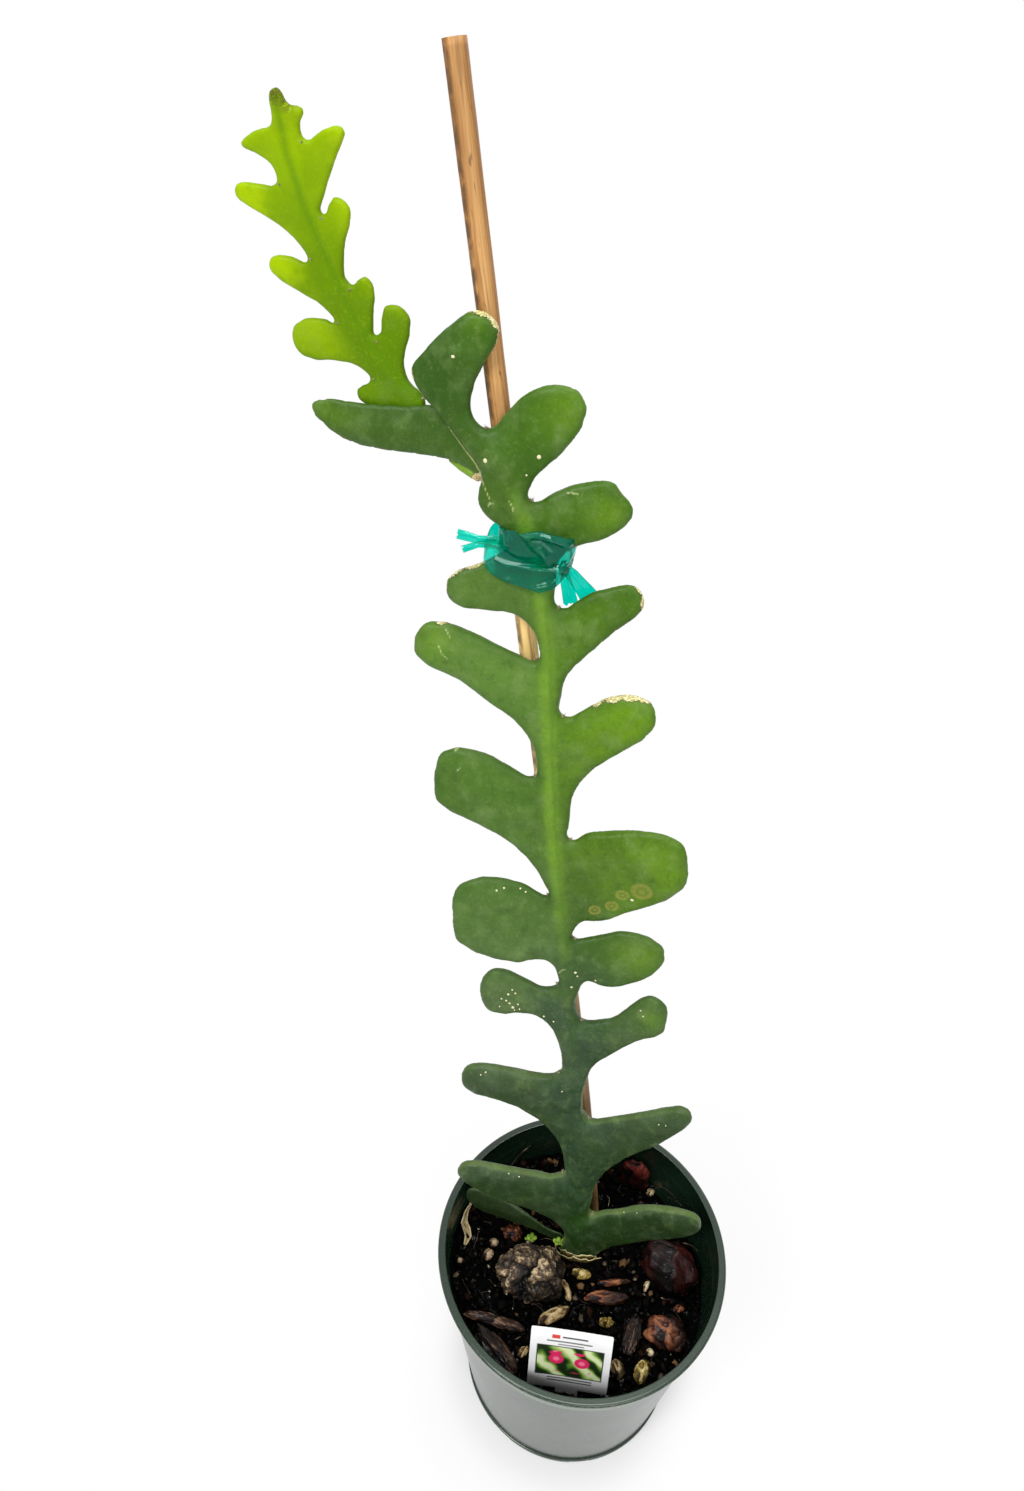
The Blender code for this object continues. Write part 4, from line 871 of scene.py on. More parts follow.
def stem_skin():
    """Waxy green skin, built up from broad tints to fine flecks, then cork and scars."""
    finish = Finish("stem_skin", {"IOR": 1.42, "Specular IOR Level": 0.24})
    rise = (finish.axis("Z") / MM - SKIN_FOOT) / SKIN_RISE
    reach, rim, ring = finish.stored("reach"), finish.stored("rim"), finish.stored("ring")
    cloud, blotch = finish.noise(30, 3.0), finish.noise(11, 4.0)
    smudge = finish.noise(5.5, 5.0, finish.stretched((1.0, 1.0, 0.7)), 0.62)
    fleck = finish.noise(1.4, 5.0, roughness=0.7)
    grain = finish.noise(1.2, 6.0, roughness=0.75)

    # Left and right lobes have their own ramps up the stem: the left's bluer tint is painted sheen, and the
    # darkest greens low down, most on the right, are painted shade of the pot
    left = finish.ramp(rise, (0.02, 44, 62, 34), (0.25, 52, 70, 42), (0.385, 74, 96, 52), (0.48, 73, 105, 42),
                       (0.615, 68, 103, 28), (0.73, 84, 120, 42), (0.80, 76, 108, 38), (0.88, 60, 92, 22),
                       (0.94, 44, 78, 12))
    right = finish.ramp(rise, (0.03, 28, 46, 20), (0.25, 52, 70, 40), (0.39, 64, 86, 46), (0.45, 56, 88, 28),
                        (0.56, 74, 108, 14), (0.69, 80, 118, 12), (0.78, 68, 105, 8), (0.90, 56, 94, 8))
    trunk = (reach * reach).between(130, 10) * rise.between(0.22, 0.02)
    young = finish.stored("young") * cloud.between(0.15, 0.55) * rise.between(0.05, 0.5)
    inner = (reach * reach).between(640, 60) * rise.between(0.50, 0.36) * rise.between(0.02, 0.14)
    green = finish.tint(
        finish.mix(reach.between(-12, 12), left, right),
        (trunk * 0.8, 30, 68, 16),
        # Just above the mix the green is darkened further: painted shade
        (rise.between(0.10, 0.0) * 0.60, 14, 34, 10),
        (young * 0.56, 102, 142, 10),
        (inner * cloud.between(0.25, 0.55) * 0.72, 38, 62, 42))

    # Pale blue-grey patches over the lobes: a painted sheen
    painted_sheen = finish.mix(rise.between(0.25, 0.5), shade(96, 118, 88), shade(112, 138, 78))
    band = finish.stored("ridge").between(0.02, 0.95) * rise.between(0.40, 0.58) * rise.between(0.895, 0.835)
    # A dark line down the right flank of the raised midrib: painted shade
    furrow_shade = (reach - blotch * 2.0 - 0.6).away().between(1.5, 0.1)
    furrow_shade = furrow_shade * rise.between(0.28, 0.36) * rise.between(0.84, 0.76)
    green = finish.tint(
        finish.mix(blotch.between(0.46, 0.70) * 0.30, green, painted_sheen),
        (smudge.between(0.50, 0.70) * 0.22, 118, 144, 78),
        (smudge.between(0.48, 0.30) * 0.34, 40, 68, 18),
        (cloud.between(0.52, 0.30) * 0.35, 44, 74, 18),
        (band * (smudge * 0.8 + 0.20), 108, 148, 38),
        (furrow_shade * smudge.between(0.3, 0.6) * 0.35, 58, 92, 14),
        (fleck.between(0.54, 0.74) * 0.25, 136, 160, 98),
        (fleck.between(0.46, 0.30) * 0.28, 38, 64, 18),
        # On the lower lobes a painted highlight runs along the rim and painted shade fills the body within
        # it; higher up the rim is darker
        (rim.between(1.8, 0.5) * rise.between(0.40, 0.15) * 0.24, 134, 160, 84),
        (rim.between(6.0, 1.0) * rise.between(0.20, 0.40) * 0.30, 48, 80, 18),
        (rim.between(2.0, 7.0) * rise.between(0.40, 0.2) * 0.30, 30, 52, 22))

    crust = (finish.stored("cork") * 4.0 - rim + grain * 4.0 - 2.6).between(0.0, 0.6)
    cork = finish.mix(finish.noise(0.9, 4.0).between(0.4, 0.6), shade(176, 164, 96), shade(226, 220, 176))
    halo = ring.between(0.22, 0.40) * ring.between(0.80, 0.50) * 0.8 + ring.between(0.88, 0.98) * 0.8
    halo = halo + ring.between(0.3, 0.9) * 0.35
    green = finish.tint(
        finish.mix(crust * 0.92, green, cork),
        (halo * grain.between(0.30, 0.55) * 0.8, 140, 138, 58),
        # A pale line along the front wing's edge where it crosses the third wing: a painted highlight
        (finish.stored("line").between(0.5, 0.9) * 0.75, 176, 178, 108),
        (finish.stored("scratch").between(0.35, 0.8) * grain.between(0.38, 0.55) * 0.6, 190, 198, 140))
    relief = fleck * 0.25 + blotch * 1.6 + smudge * 0.9 + crust * 1.2
    return finish.done(green, smudge * 0.22 + crust * 0.3 + 0.30, relief, 0.42)


def spots_along(points, radius, step):
    """Spots every step millimetres along a line of points."""
    spots = []
    for start, end in zip(points, points[1:]):
        length = math.dist(start, end)
        for count in range(math.ceil(length / step)):
            share = count * step / length
            x, z = (a + share * (b - a) for a, b in zip(start, end))
            spots.append((x, z, radius))
    return spots


def seats_on(bm):
    """What seat_of reads: a tree of a skin's points, and the normals there."""
    return tree_of(bm.verts), [vert.normal.copy() for vert in bm.verts]


FOOT_LEAN, LEAN_TOP, LEAN_RUN = 3.2, 138.0, 24.0     # the foot leans left below LEAN_TOP
TIE_LEVEL, TIE_HOLD = 537, 15                        # the tie's height, and how far it presses

main_skin = grown_skin("main_stem", voxel=0.85, plump=0.45, passes=6)
shape_blade(main_skin, MIDRIB, swell=1.5, rib=0.9, rib_width=3.6, sway=1.8, tied=(TIE_LEVEL, TIE_HOLD))
for vert in main_skin.verts:
    low = limited((LEAN_TOP - vert.co.z / MM) / LEAN_RUN)
    vert.co.x -= FOOT_LEAN * low * limited((24.0 - abs(vert.co.x) / MM) / 12.0) * MM
scratch_spots = [spot for route in SCRATCHES for spot in spots_along(route, 0.55, 0.4)]
for mark, spots in (("young", PALE_ENDS), ("cork", CORKY), ("ring", RINGS),
                    ("line", spots_along(WING_EDGE_HIGHLIGHT, 0.6, 0.4)), ("scratch", scratch_spots)):
    spots_near(main_skin, mark, spots)
main_seats = seats_on(main_skin)
add_piece("main_stem_skin", main_skin, stem_skin(), "stem_green", "main_stem")

# Basal shoot -------------------------------------------------------------------------------------
# A small dark shoot of the same waxy skin. It started at the stem's foot, lies just above the mix on
# the left, and stayed short; its dull dark green is painted shade of the pot.

BASAL_MIDRIB = [(-42, 100), (-42, 150)]


def shaded_skin():
    """The same skin in the pot's shade, painted dark as shade, with a paler rim as painted highlight."""
    finish = Finish("shaded_skin", {"IOR": 1.42, "Coat Weight": 0.08, "Coat Roughness": 0.35})
    cloud, fleck = finish.noise(9, 4.0), finish.noise(1.3, 4.0)
    green = finish.tint(
        finish.mix(cloud, shade(24, 38, 16), shade(38, 58, 26)),
        (fleck.between(0.5, 0.72) * 0.25, 74, 98, 54),
        (finish.stored("rim").between(2.0, 0.3) * 0.35, 62, 88, 42))
    return finish.done(green, cloud * 0.2 + 0.36, fleck, 0.12)


basal_skin = grown_skin("basal_shoot", voxel=0.7, plump=0.4, passes=6)
shape_blade(basal_skin, BASAL_MIDRIB, swell=0.8, rib=0.0, rib_width=4.0, sway=0.6)
add_piece("basal_shoot_skin", basal_skin, shaded_skin(), "stem_green", "basal_shoot")

# Young stem and side stub ------------------------------------------------------------------------
# This season's growth: a thinner, yellow-green stem with short lobes and a crumpled growing tip, and
# beside it the stub of a shoot that was cut off, sealed with tan cork where it joins.

YOUNG_MIDRIB = [(-104, 589.5), (-117, 601), (-130, 617), (-138, 634), (-145, 652), (-149, 669), (-151, 690)]
YOUNG_FOOT, YOUNG_RISE = 585.0, 105.0


def young_skin():
    """Bright new skin, yellower to the lobes' ends, with a fine darker line down the middle."""
    finish = Finish("young_skin", {"IOR": 1.42, "Specular IOR Level": 0.10})
    rise = (finish.axis("Z") / MM - YOUNG_FOOT) / YOUNG_RISE
    reach = finish.stored("reach")
    cloud, fleck = finish.noise(14, 3.0), finish.noise(1.2, 4.0)
    outer = reach.away().between(5, 21) * cloud.between(0.2, 0.55) * rise.between(-0.05, 0.45)
    shaded = reach.between(0, 5) * rise.between(0.45, 0.30)
    sheen = cloud.between(0.52, 0.70) * rise.between(0.45, 0.1)
    cork = finish.stored("cork") * finish.noise(1.0, 5.0).between(0.42, 0.54)
    green = finish.tint(
        finish.ramp(rise, (0.0, 78, 116, 8), (0.22, 88, 124, 2), (0.45, 101, 136, 0), (0.75, 131, 166, 0),
                    (0.90, 146, 176, 0), (1.0, 104, 122, 20)),
        (outer * 0.85 * (1.0 - shaded), 160, 190, 0),
        (sheen * 0.18, 118, 150, 80),
        (finish.stored("ridge") * 0.55, 82, 126, 4),
        (fleck.between(0.52, 0.74) * 0.15, 176, 196, 60),
        (cloud.between(0.56, 0.40) * 0.22, 84, 122, 2),
        (finish.stored("rim").between(1.0, 0.2) * 0.12, 64, 88, 4),
        (cork * 0.85, 98, 84, 34))
    relief = fleck * 0.3 + cork + finish.noise(7, 3.0) * 1.2
    return finish.done(green, cloud * 0.12 + 0.32, relief, 0.30)


young = grown_skin("young_stem", voxel=0.5, plump=0.3, passes=6)
shape_blade(young, YOUNG_MIDRIB, swell=0.6, rib=-0.25, rib_width=1.6, sway=0.8)
spots_near(young, "cork", [(-151, 686, 3.5), (-147, 683, 2.5)])
young_seats = seats_on(young)
add_piece("young_stem_skin", young, young_skin(), "young_green", "young_stem")

stub_low, stub_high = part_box("side_stub")
stub = grown_skin("side_stub", voxel=0.35, plump=0.5, passes=4)
spots_near(stub, "cork", [(stub_high.x / MM - 1, (stub_low.z + 1.5 * MM) / MM, 3.4)])


def cut_stub():
    """Bright green skin, with cream cork crusted over the end that was cut."""
    finish = Finish("stub_skin", {"IOR": 1.42, "Specular IOR Level": 0.3})
    green = finish.mix(finish.noise(4, 3.0), shade(92, 134, 14), shade(128, 162, 44))
    grain = finish.noise(1.0, 5.0, roughness=0.7)
    crust = (finish.stored("cork") + grain * 0.6).between(0.70, 0.82)
    cream = finish.mix(grain.between(0.4, 0.6), shade(156, 128, 70), shade(226, 206, 152))
    return finish.done(finish.mix(crust, green, cream), crust * 0.3 + 0.35, grain + crust * 2.0, 0.25)


add_piece("side_stub_skin", stub, cut_stub(), "young_green", "side_stub")

# Areoles and specks ------------------------------------------------------------------------------
# In each notch between two lobes sits an areole, a tan felted cushion with a few short bristles. Dots
# of dried sap and scale stick to the skin.

STEM_LEAN = 0.1418            # how far the stem's face goes back for each millimetre up
AREOLE_RADIUS = 0.8
AREOLES = [(3, 153), (-6.5, 231), (-17, 301), (-25.5, 352), (-32, 408.5), (-40.5, 470.5), (-46, 518),
           (-60, 560), (-77.5, 585), (-16, 183.5), (-24.5, 262), (-30.5, 322), (-39, 375.5), (-50, 439),
           (-53, 494), (-79, 566), (-101, 594)]
YOUNG_AREOLES = [(-122, 611.5), (-131, 628), (-139.5, 650), (-142.5, 672.5), (-124.5, 596), (-138, 614.5),
                 (-146.5, 634.5), (-155, 658.5)]
SPECKS = [(-54, 315, 0.8), (-52, 318, 0.6), (-50, 316, 0.6), (-55, 311, 0.7), (-53, 309, 0.7),
          (-57, 312, 0.6), (-51, 307, 0.9), (-49, 309.5, 0.6), (-47.5, 306, 0.6), (-50, 304.5, 0.5),
          (-58, 306, 0.5), (-63, 378, 0.7), (-60, 380, 0.7), (-52, 381, 0.6), (-49, 379, 0.6),
          (-22, 336, 0.9), (-20, 333.5, 0.6), (-22.5, 326, 0.7), (-13, 331, 0.6), (-1, 384.5, 1.0),
          (-90.2, 611, 0.9), (-56.7, 578, 1.0),
          (-78.3, 574.6, 1.0), (-61, 571, 0.5), (-36, 303, 0.7), (-31, 301, 0.6), (-22, 253, 0.5),
          (-63, 256, 0.6), (-66, 254, 0.5), (30, 246, 0.5), (34, 247, 0.4), (11, 318, 0.6), (13, 315, 0.5),
          (-75, 338, 0.8), (-71, 336, 0.6), (-40, 180, 0.6), (-46, 181, 0.5), (18, 167, 0.5), (26, 168, 0.4)]


def seat_of(seats, x, z, y):
    """The point of a skin nearest to x and z, seen from y in millimetres, and the normal there."""
    tree, normals = seats
    found, index, _ = tree.find(Vector((x, y, z)) * MM)
    return found, normals[index]


def stem_depth(z):
    """How far back the stem's face lies at a height, in millimetres; its tip bends forward again."""
    return 8 + (z - 114) * STEM_LEAN - max(0.0, z - 500) ** 2 / 3400


def areole_tufts():
    """Felted cushions with bristles, seated in the notches of both stems."""
    bm = bmesh.new()
    tone = bm.verts.layers.float.new("tone")
    notches = [(main_seats, spot, 1.0) for spot in AREOLES]
    notches += [(young_seats, spot, 0.5) for spot in YOUNG_AREOLES]
    for seats, (x, z), size in notches:
        seat, normal = seat_of(seats, x, z, stem_depth(z))
        verts = bmesh.ops.create_icosphere(bm, subdivisions=3, radius=AREOLE_RADIUS * size * MM)["verts"]
        seed = Vector((x, z, 0))
        for vert in verts:
            vert.co *= 1.0 + 0.5 * noise.noise(vert.co / MM * 1.6 + seed)
            vert.co += seat
            vert[tone] = rng.random()
        for _ in range(round(9 * size)):
            lean = Vector((rng.gauss(0, 0.6), rng.gauss(0, 0.6), rng.gauss(0.3, 0.5))) + normal * 0.8
            turn = lean.to_track_quat("Z", "Y").to_matrix().to_4x4()
            length = rng.uniform(1.2, 2.2) * size * MM
            place = Matrix.Translation(seat + lean.normalized() * length / 2) @ turn
            bristle = bmesh.ops.create_cone(bm, cap_ends=True, segments=5, radius1=0.13 * MM,
                                            radius2=0.03 * MM, depth=length, matrix=place)
            for vert in bristle["verts"]:
                vert[tone] = 0.9
    return bm


def areole_felt():
    """Grey-brown felt with straw-coloured bristles."""
    finish = Finish("areole_felt", {"IOR": 1.4})
    felt = finish.ramp(finish.stored("tone"), (0.0, 62, 56, 42), (0.6, 124, 114, 88), (1.0, 206, 194, 160))
    grain = finish.noise(0.4, 3.0)
    return finish.done(felt, grain * 0.2 + 0.7, grain, 0.3)


def skin_specks():
    """Small flattened dots stuck to the front of the skin."""
    bm = bmesh.new()
    tone = bm.verts.layers.float.new("tone")
    for x, z, radius in SPECKS:
        seat, normal = seat_of(main_seats, x, z, stem_depth(z) - 6)
        turn = normal.to_track_quat("Z", "Y").to_matrix().to_4x4()
        flat = Matrix.Diagonal((0.85 * radius * MM, radius * rng.uniform(0.6, 0.95) * MM, 0.4 * MM, 1))
        place = Matrix.Translation(seat) @ turn @ flat
        for vert in bmesh.ops.create_icosphere(bm, subdivisions=2, radius=1.0, matrix=place)["verts"]:
            vert[tone] = 0.95
    return bm


def dried_sap():
    """Cream dots of dried sap and scale."""
    finish = Finish("dried_sap", {"IOR": 1.45})
    grain = finish.noise(0.5, 3.0)
    cream = finish.mix(grain, shade(196, 184, 140), shade(240, 234, 204))
    return finish.done(cream, grain * 0.2 + 0.5, grain, 0.1)


add_piece("areoles", areole_tufts(), areole_felt(), "bark_tan")
add_piece("sap_specks", skin_specks(), dried_sap(), "bark_tan")

# Cane --------------------------------------------------------------------------------------------
# A round stick split from wood, pushed into the mix behind the stem and leaning with it. It has long
# open grain, a few dark cracks and a rough sawn top.

CANE_SIDES = 56
CANE_RINGS = 260
CANE_RADIUS = 3.95
CANE_KICK, KICK_TOP, KICK_RUN = 3.0, 250.0, 140.0    # how its lower end bends to the left
cane_points = points_of(frame["nodes"]["cane"].data)
cane_low, cane_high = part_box("cane")
cane_foot = Vector(cane_points[cane_points[:, 2] < cane_low.z + 4 * MM].mean(0))
cane_head = Vector(cane_points[cane_points[:, 2] > cane_high.z - 3 * MM].mean(0))
cane_axis = (cane_head - cane_foot).normalized()
cane_turn = cane_axis.to_track_quat("Z", "Y")


def cane_stick():
    """A ring of points is extruded up the stick; grooves follow the grain and the top is sawn rough."""
    length = (cane_head - cane_foot).length / MM
    bm = bmesh.new()
    bmesh.ops.create_circle(bm, cap_ends=True, segments=CANE_SIDES, radius=CANE_RADIUS * MM)
    edges = bm.edges[:]
    step = Vector((0, 0, length / CANE_RINGS * MM))
    for _ in range(CANE_RINGS):
        grown = bmesh.ops.extrude_edge_only(bm, edges=edges)["geom"]
        edges = [item for item in grown if isinstance(item, bmesh.types.BMEdge)]
        ring = [item for item in grown if isinstance(item, bmesh.types.BMVert)]
        edges = [edge for edge in edges if all(vert in ring for vert in edge.verts)]
        bmesh.ops.translate(bm, vec=step, verts=ring)
    cap = bmesh.ops.contextual_create(bm, geom=edges)["faces"]
    bmesh.ops.inset_region(bm, faces=cap, thickness=0.5 * MM, depth=0.25 * MM)
    bmesh.ops.recalc_face_normals(bm, faces=bm.faces)
    turn = cane_turn.to_matrix().to_4x4()
    for vert in bm.verts:
        angle = math.atan2(vert.co.y, vert.co.x)
        z = vert.co.z / MM
        around = Vector((2.4 * math.cos(angle), 2.4 * math.sin(angle), z / 70))
        groove = 0.10 * noise.noise(around * 1.9) + 0.07 * noise.noise(around * 4.5)
        split = -0.35 * max(0.0, wobble(3.2 * math.cos(angle), 3.2 * math.sin(angle), z / 34) - 0.42)
        oval = 0.10 * math.cos(2 * angle + 0.6)
        share = 1.0 + (groove + split + oval) / CANE_RADIUS
        bow = Vector((0.5 * wobble(0, 0, z / 160), 0.5 * wobble(7, 0, z / 160), 0))
        vert.co = Vector((vert.co.x * share, vert.co.y * share, vert.co.z))
        vert.co += bow * MM * math.sin(math.pi * z / length)
    bmesh.ops.transform(bm, matrix=Matrix.Translation(cane_foot) @ turn, verts=bm.verts)
    for vert in bm.verts:
        low = limited((KICK_TOP - vert.co.z / MM) / KICK_RUN)
        vert.co.x -= CANE_KICK * low * low * MM
    return bm


def cane_wood():
    """Light brown wood: fine streaks run up the stick, with darker veins and cracks, and painted highlight
    and shade.
    """
    finish = Finish("cane_wood", {"IOR": 1.48, "Specular IOR Level": 0.35})
    values = {"Vector": finish.place(), "Location": cane_foot, "Rotation": cane_turn.to_euler()}
    along = finish.node("ShaderNodeMapping", {"vector_type": "TEXTURE"}, values)
    rise = finish.axis("Z") / MM
    side = (finish.axis("Y", along) * 0.74 - finish.axis("X", along) * 0.66) / MM
    streak = finish.noise(0.9, 5.0, finish.stretched((1.0, 1.0, 0.03), along), 0.65)
    vein = finish.noise(2.4, 3.0, finish.stretched((1.0, 1.0, 0.04), along))
    dash = finish.noise(1.5, 2.0, finish.stretched((1.0, 1.0, 0.22), along)).between(0.66, 0.73)
    crack = finish.noise(1.2, 3.0, finish.stretched((1.0, 1.0, 0.08), along)).between(0.69, 0.75)
    wood = finish.ramp(streak, (0.30, 142, 96, 50), (0.46, 172, 122, 66), (0.58, 192, 142, 84),
                       (0.76, 212, 168, 108))
    wood = finish.tint(
        # Below the tie the stick is painted a flat bright tan: painted light
        finish.mix(rise.between(548, 525), wood, shade(252, 214, 140)),
        # Darker towards the mix: partly damp wood, partly painted shade
        (rise.between(420, 200) * 0.85, 92, 58, 34),
        # A painted highlight down the stick, and painted shade along its right side as the camera sees it
        (side.between(-1.6, 0.3) * side.between(2.8, 1.2) * 0.34, 226, 180, 116),
        (side.between(2.2, 3.8) * 0.40, 124, 84, 46),
        (vein.between(0.52, 0.66) * 0.60, 122, 80, 42),
        (finish.noise(36, 3.0).between(0.45, 0.7) * 0.22, 150, 104, 60),
        # Streaky dark marks along its left side as the camera sees it: partly stain, partly painted shade
        (side.between(-1.5, -3.1) * finish.noise(7, 5.0).between(0.34, 0.60) * 0.8, 70, 44, 24),
        (dash * 0.6, 84, 52, 28),
        (crack * 0.8, 58, 34, 20))
    return finish.done(wood, streak * 0.25 + 0.40, streak * 0.6 + vein * 0.3 - crack * 0.6, 0.22)


add_piece("cane_stick", cane_stick(), cane_wood(), "cane_wood", "cane")

# Tie ---------------------------------------------------------------------------------------------
# A strip of soft translucent teal tape, stretched twice round stem and cane and knotted at the
# right. The tape gathers into pleats towards the knot, and its ends stick out flat.

TIE_LEAN = math.radians(6.9)            # how far the stem's face leans back there
TIE_ALONG = 220
TIE_ACROSS = 26
TAPE_THICKNESS = 0.22
KNOT = (-44.6, 536.6, -4.2)             # its x, height and distance behind the stem's face
KNOT_SIZE = Vector((2.0, 2.4, 3.0))
REAR_LOW, REAR_HIGH = 541.0, 547.5      # the tape's edges where it passes behind the cane


def on_face(x, z, behind):
    """A point in millimetres on the stem's leaning face near the tie, moved behind it."""
    return Vector((x, stem_depth(z) + behind * math.cos(TIE_LEAN), z - behind * math.sin(TIE_LEAN)))


# The two turns as seen from the front: x, with the tape's lower and upper edge there
LOWER_TURN = [(-77.0, 535.2, 542.0), (-74.5, 533.0, 543.2), (-71, 531.2, 543.4), (-66, 529.6, 541.2),
              (-63, 528.8, 539.6), (-56, 527.4, 538.4), (-52.9, 526.8, 538.4), (-48, 528.6, 538.6),
              (-43.5, 533.6, 538.0)]
UPPER_TURN = [(-71.5, 540.5, 549.2), (-67.7, 539.0, 549.6), (-61.6, 538.0, 550.4), (-54.5, 537.6, 551.2),
              (-45.6, 538.6, 549.4), (-41.8, 539.8, 548.2)]
# Folds pulled up by the knot: places along each, and its height
LOWER_FOLDS = [([(-71, 539.0), (-67, 537.8), (-63.2, 537.2), (-56.2, 537.0), (-50.3, 537.6),
                 (-45.6, 537.0)], 2.6),
               ([(-74.2, 535.6), (-71.3, 532.8), (-66, 530.6)], 0.9),
               ([(-60, 530.5), (-53, 532.0), (-47, 535.5)], 0.5),
               ([(-54, 529.0), (-50, 530.2), (-47.5, 533.4)], 1.2),
               ([(-68, 536.0), (-58, 534.6), (-48, 536.2)], 0.4)]
UPPER_FOLDS = [([(-62, 550.6), (-60, 549), (-55.3, 545.6), (-51.7, 542.0), (-50.0, 538.8)], 2.8),
               ([(-60.0, 550.2), (-51.0, 549.0), (-43.6, 546.6)], 2.0),
               ([(-68.5, 549), (-68.0, 545), (-69.0, 541)], 0.9),
               ([(-43.0, 547), (-43.8, 544), (-45.0, 540.5)], 0.7),
               ([(-66, 541), (-60, 540.4), (-54, 541.6)], 0.4)]


def fold_height(folds, x, z):
    """How far the folds lift the tape at a place, in millimetres; each is a narrow rounded crest."""
    height = 0.0
    for places, crest in folds:
        nearest = min(math.hypot(x - spot[0], z - spot[1]) for spot in places)
        height = max(height, crest * (bell(nearest, 0.9) + 0.4 * bell(nearest, 3.2)))
    return height


def tape_round(name, edges, folds, size, seed):
    """One turn of tape: a grid bent round stem and cane, its front following the given edges."""
    left, right, front, back = size
    folds = [(spots_along(route, 0, 0.5), crest) for route, crest in folds]
    stations, *sides = zip(*edges)
    bm = bmesh.new()
    thin = bm.verts.layers.float.new("thin")
    bmesh.ops.create_grid(bm, x_segments=TIE_ALONG, y_segments=TIE_ACROSS, size=0.5)
    for vert in bm.verts:
        angle = math.tau * (vert.co.x + 0.5)
        share = vert.co.y + 0.5
        c, s = math.cos(angle), math.sin(angle)
        x = (left + right) / 2 + (right - left) / 2 * math.copysign(abs(c) ** 0.5, c)
        behind = (front + back) / 2 + (back - front) / 2 * math.copysign(abs(s) ** 0.55, s)
        low, high = (float(np.interp(x, stations, side)) for side in sides)
        rear = max(0.0, s) ** 0.6
        low, high = low + (REAR_LOW - low) * rear, high + (REAR_HIGH - high) * rear
        z = low + (high - low) * share
        spread = Vector((x - KNOT[0], z - KNOT[1]))
        fan = math.sin(math.atan2(spread.y, -spread.x) * 13 + 2.5 * wobble(x / 9, z / 9, seed))
        crease = wobble(x / 11, z / 3.4, seed + 4)
        ripple = wobble(x / 5, z / 2.6, seed + 9)
        push = 0.6 * fan * math.exp(-spread.length / 6) + 0.16 * crease + 0.04 * ripple
        push += fold_height(folds, x, z) if s < 0.2 else 0.0
        outward = Vector((0.25 * c, s, 0)).normalized()
        # The left flap is painted a brighter teal: painted light coming through from behind
        vert[thin] = limited((-70.5 - x) / 2.0)
        vert.co = (on_face(x, z, behind) + outward * push) * MM
    bmesh.ops.remove_doubles(bm, verts=bm.verts, dist=0.02 * MM)
    bmesh.ops.recalc_face_normals(bm, faces=bm.faces)
    return thickened(name, bm, TAPE_THICKNESS)


def tape_end(name, route, pleats, seed):
    """A loose end of tape: a grid along its route, pleated at the knot and flat at its cut end."""
    run = Vector((route[-1][0] - route[0][0], route[-1][1] - route[0][1])).normalized()
    bm = bmesh.new()
    thin = bm.verts.layers.float.new("thin")
    bmesh.ops.create_grid(bm, x_segments=70, y_segments=26, size=0.5)
    for vert in bm.verts:
        # The loose ends are painted bright teal all over: painted light coming through from behind
        vert[thin] = 1.0
        along, side = vert.co.x + 0.5, vert.co.y
        x, z, behind, width = on_route(along, route)
        fold = math.sin(math.tau * pleats * side + seed) * (1.0 - 0.7 * along)
        curl = 0.9 * wobble(along * 3, side * 2, seed)
        ragged = 1.1 * along ** 6 * wobble(side * 5, seed, 2)
        x += run.x * ragged - run.y * side * width
        z += run.y * ragged + run.x * side * width
        vert.co = on_face(x, z, behind + 0.75 * fold + curl) * MM
    bmesh.ops.recalc_face_normals(bm, faces=bm.faces)
    return thickened(name, bm, TAPE_THICKNESS)


def tape_knot():
    """The hitch: a short tube of gathered tape, ridged where its folds cross."""
    bm = bmesh.new()
    bm.verts.layers.float.new("thin")
    bmesh.ops.create_uvsphere(bm, u_segments=64, v_segments=40, radius=1.0)
    for vert in bm.verts:
        turn = math.atan2(vert.co.z, vert.co.x)
        ridge = 0.16 * math.sin(9 * turn + 3 * vert.co.y) + 0.14 * noise.noise(vert.co * 2.6)
        vert.co *= 1.0 + ridge
        vert.co = (on_face(*KNOT) + vert.co * KNOT_SIZE) * MM
    return bm


def teal_tape():
    """Clear teal plastic: bright where light passes through it, dark where the stem backs it, with painted
    backlight on its loose ends and left flap.
    """
    finish = Finish("teal_tape", {"IOR": 1.08, "Transmission Weight": 0.88, "Coat Weight": 0.4,
                                  "Coat Roughness": 0.05, "Coat IOR": 1.5})
    stretch = finish.noise(3.5, 4.0)
    thin = finish.stored("thin") * 0.8 + stretch * 0.2
    teal = finish.mix(thin, shade(0, 172, 146), shade(0, 214, 190))
    return finish.done(teal, stretch * 0.06 + 0.02, finish.noise(5, 2.0), 0.03)


tape = teal_tape()
# How far each turn reaches to the left, right, front and back
LOWER_REACH, UPPER_REACH = (-77.0, -43.5, -7.0, 13.2), (-71.5, -41.8, -5.9, 12.6)
lower_turn = tape_round("tape_lower", LOWER_TURN, LOWER_FOLDS, LOWER_REACH, 2.0)
upper_turn = tape_round("tape_upper", UPPER_TURN, UPPER_FOLDS, UPPER_REACH, 7.0)
add_piece("tape_lower", lower_turn, tape, "tie_tape", "tie_tape")
add_piece("tape_upper", upper_turn, tape, "tie_tape")
add_piece("tape_knot", tape_knot(), tape, "tie_tape")
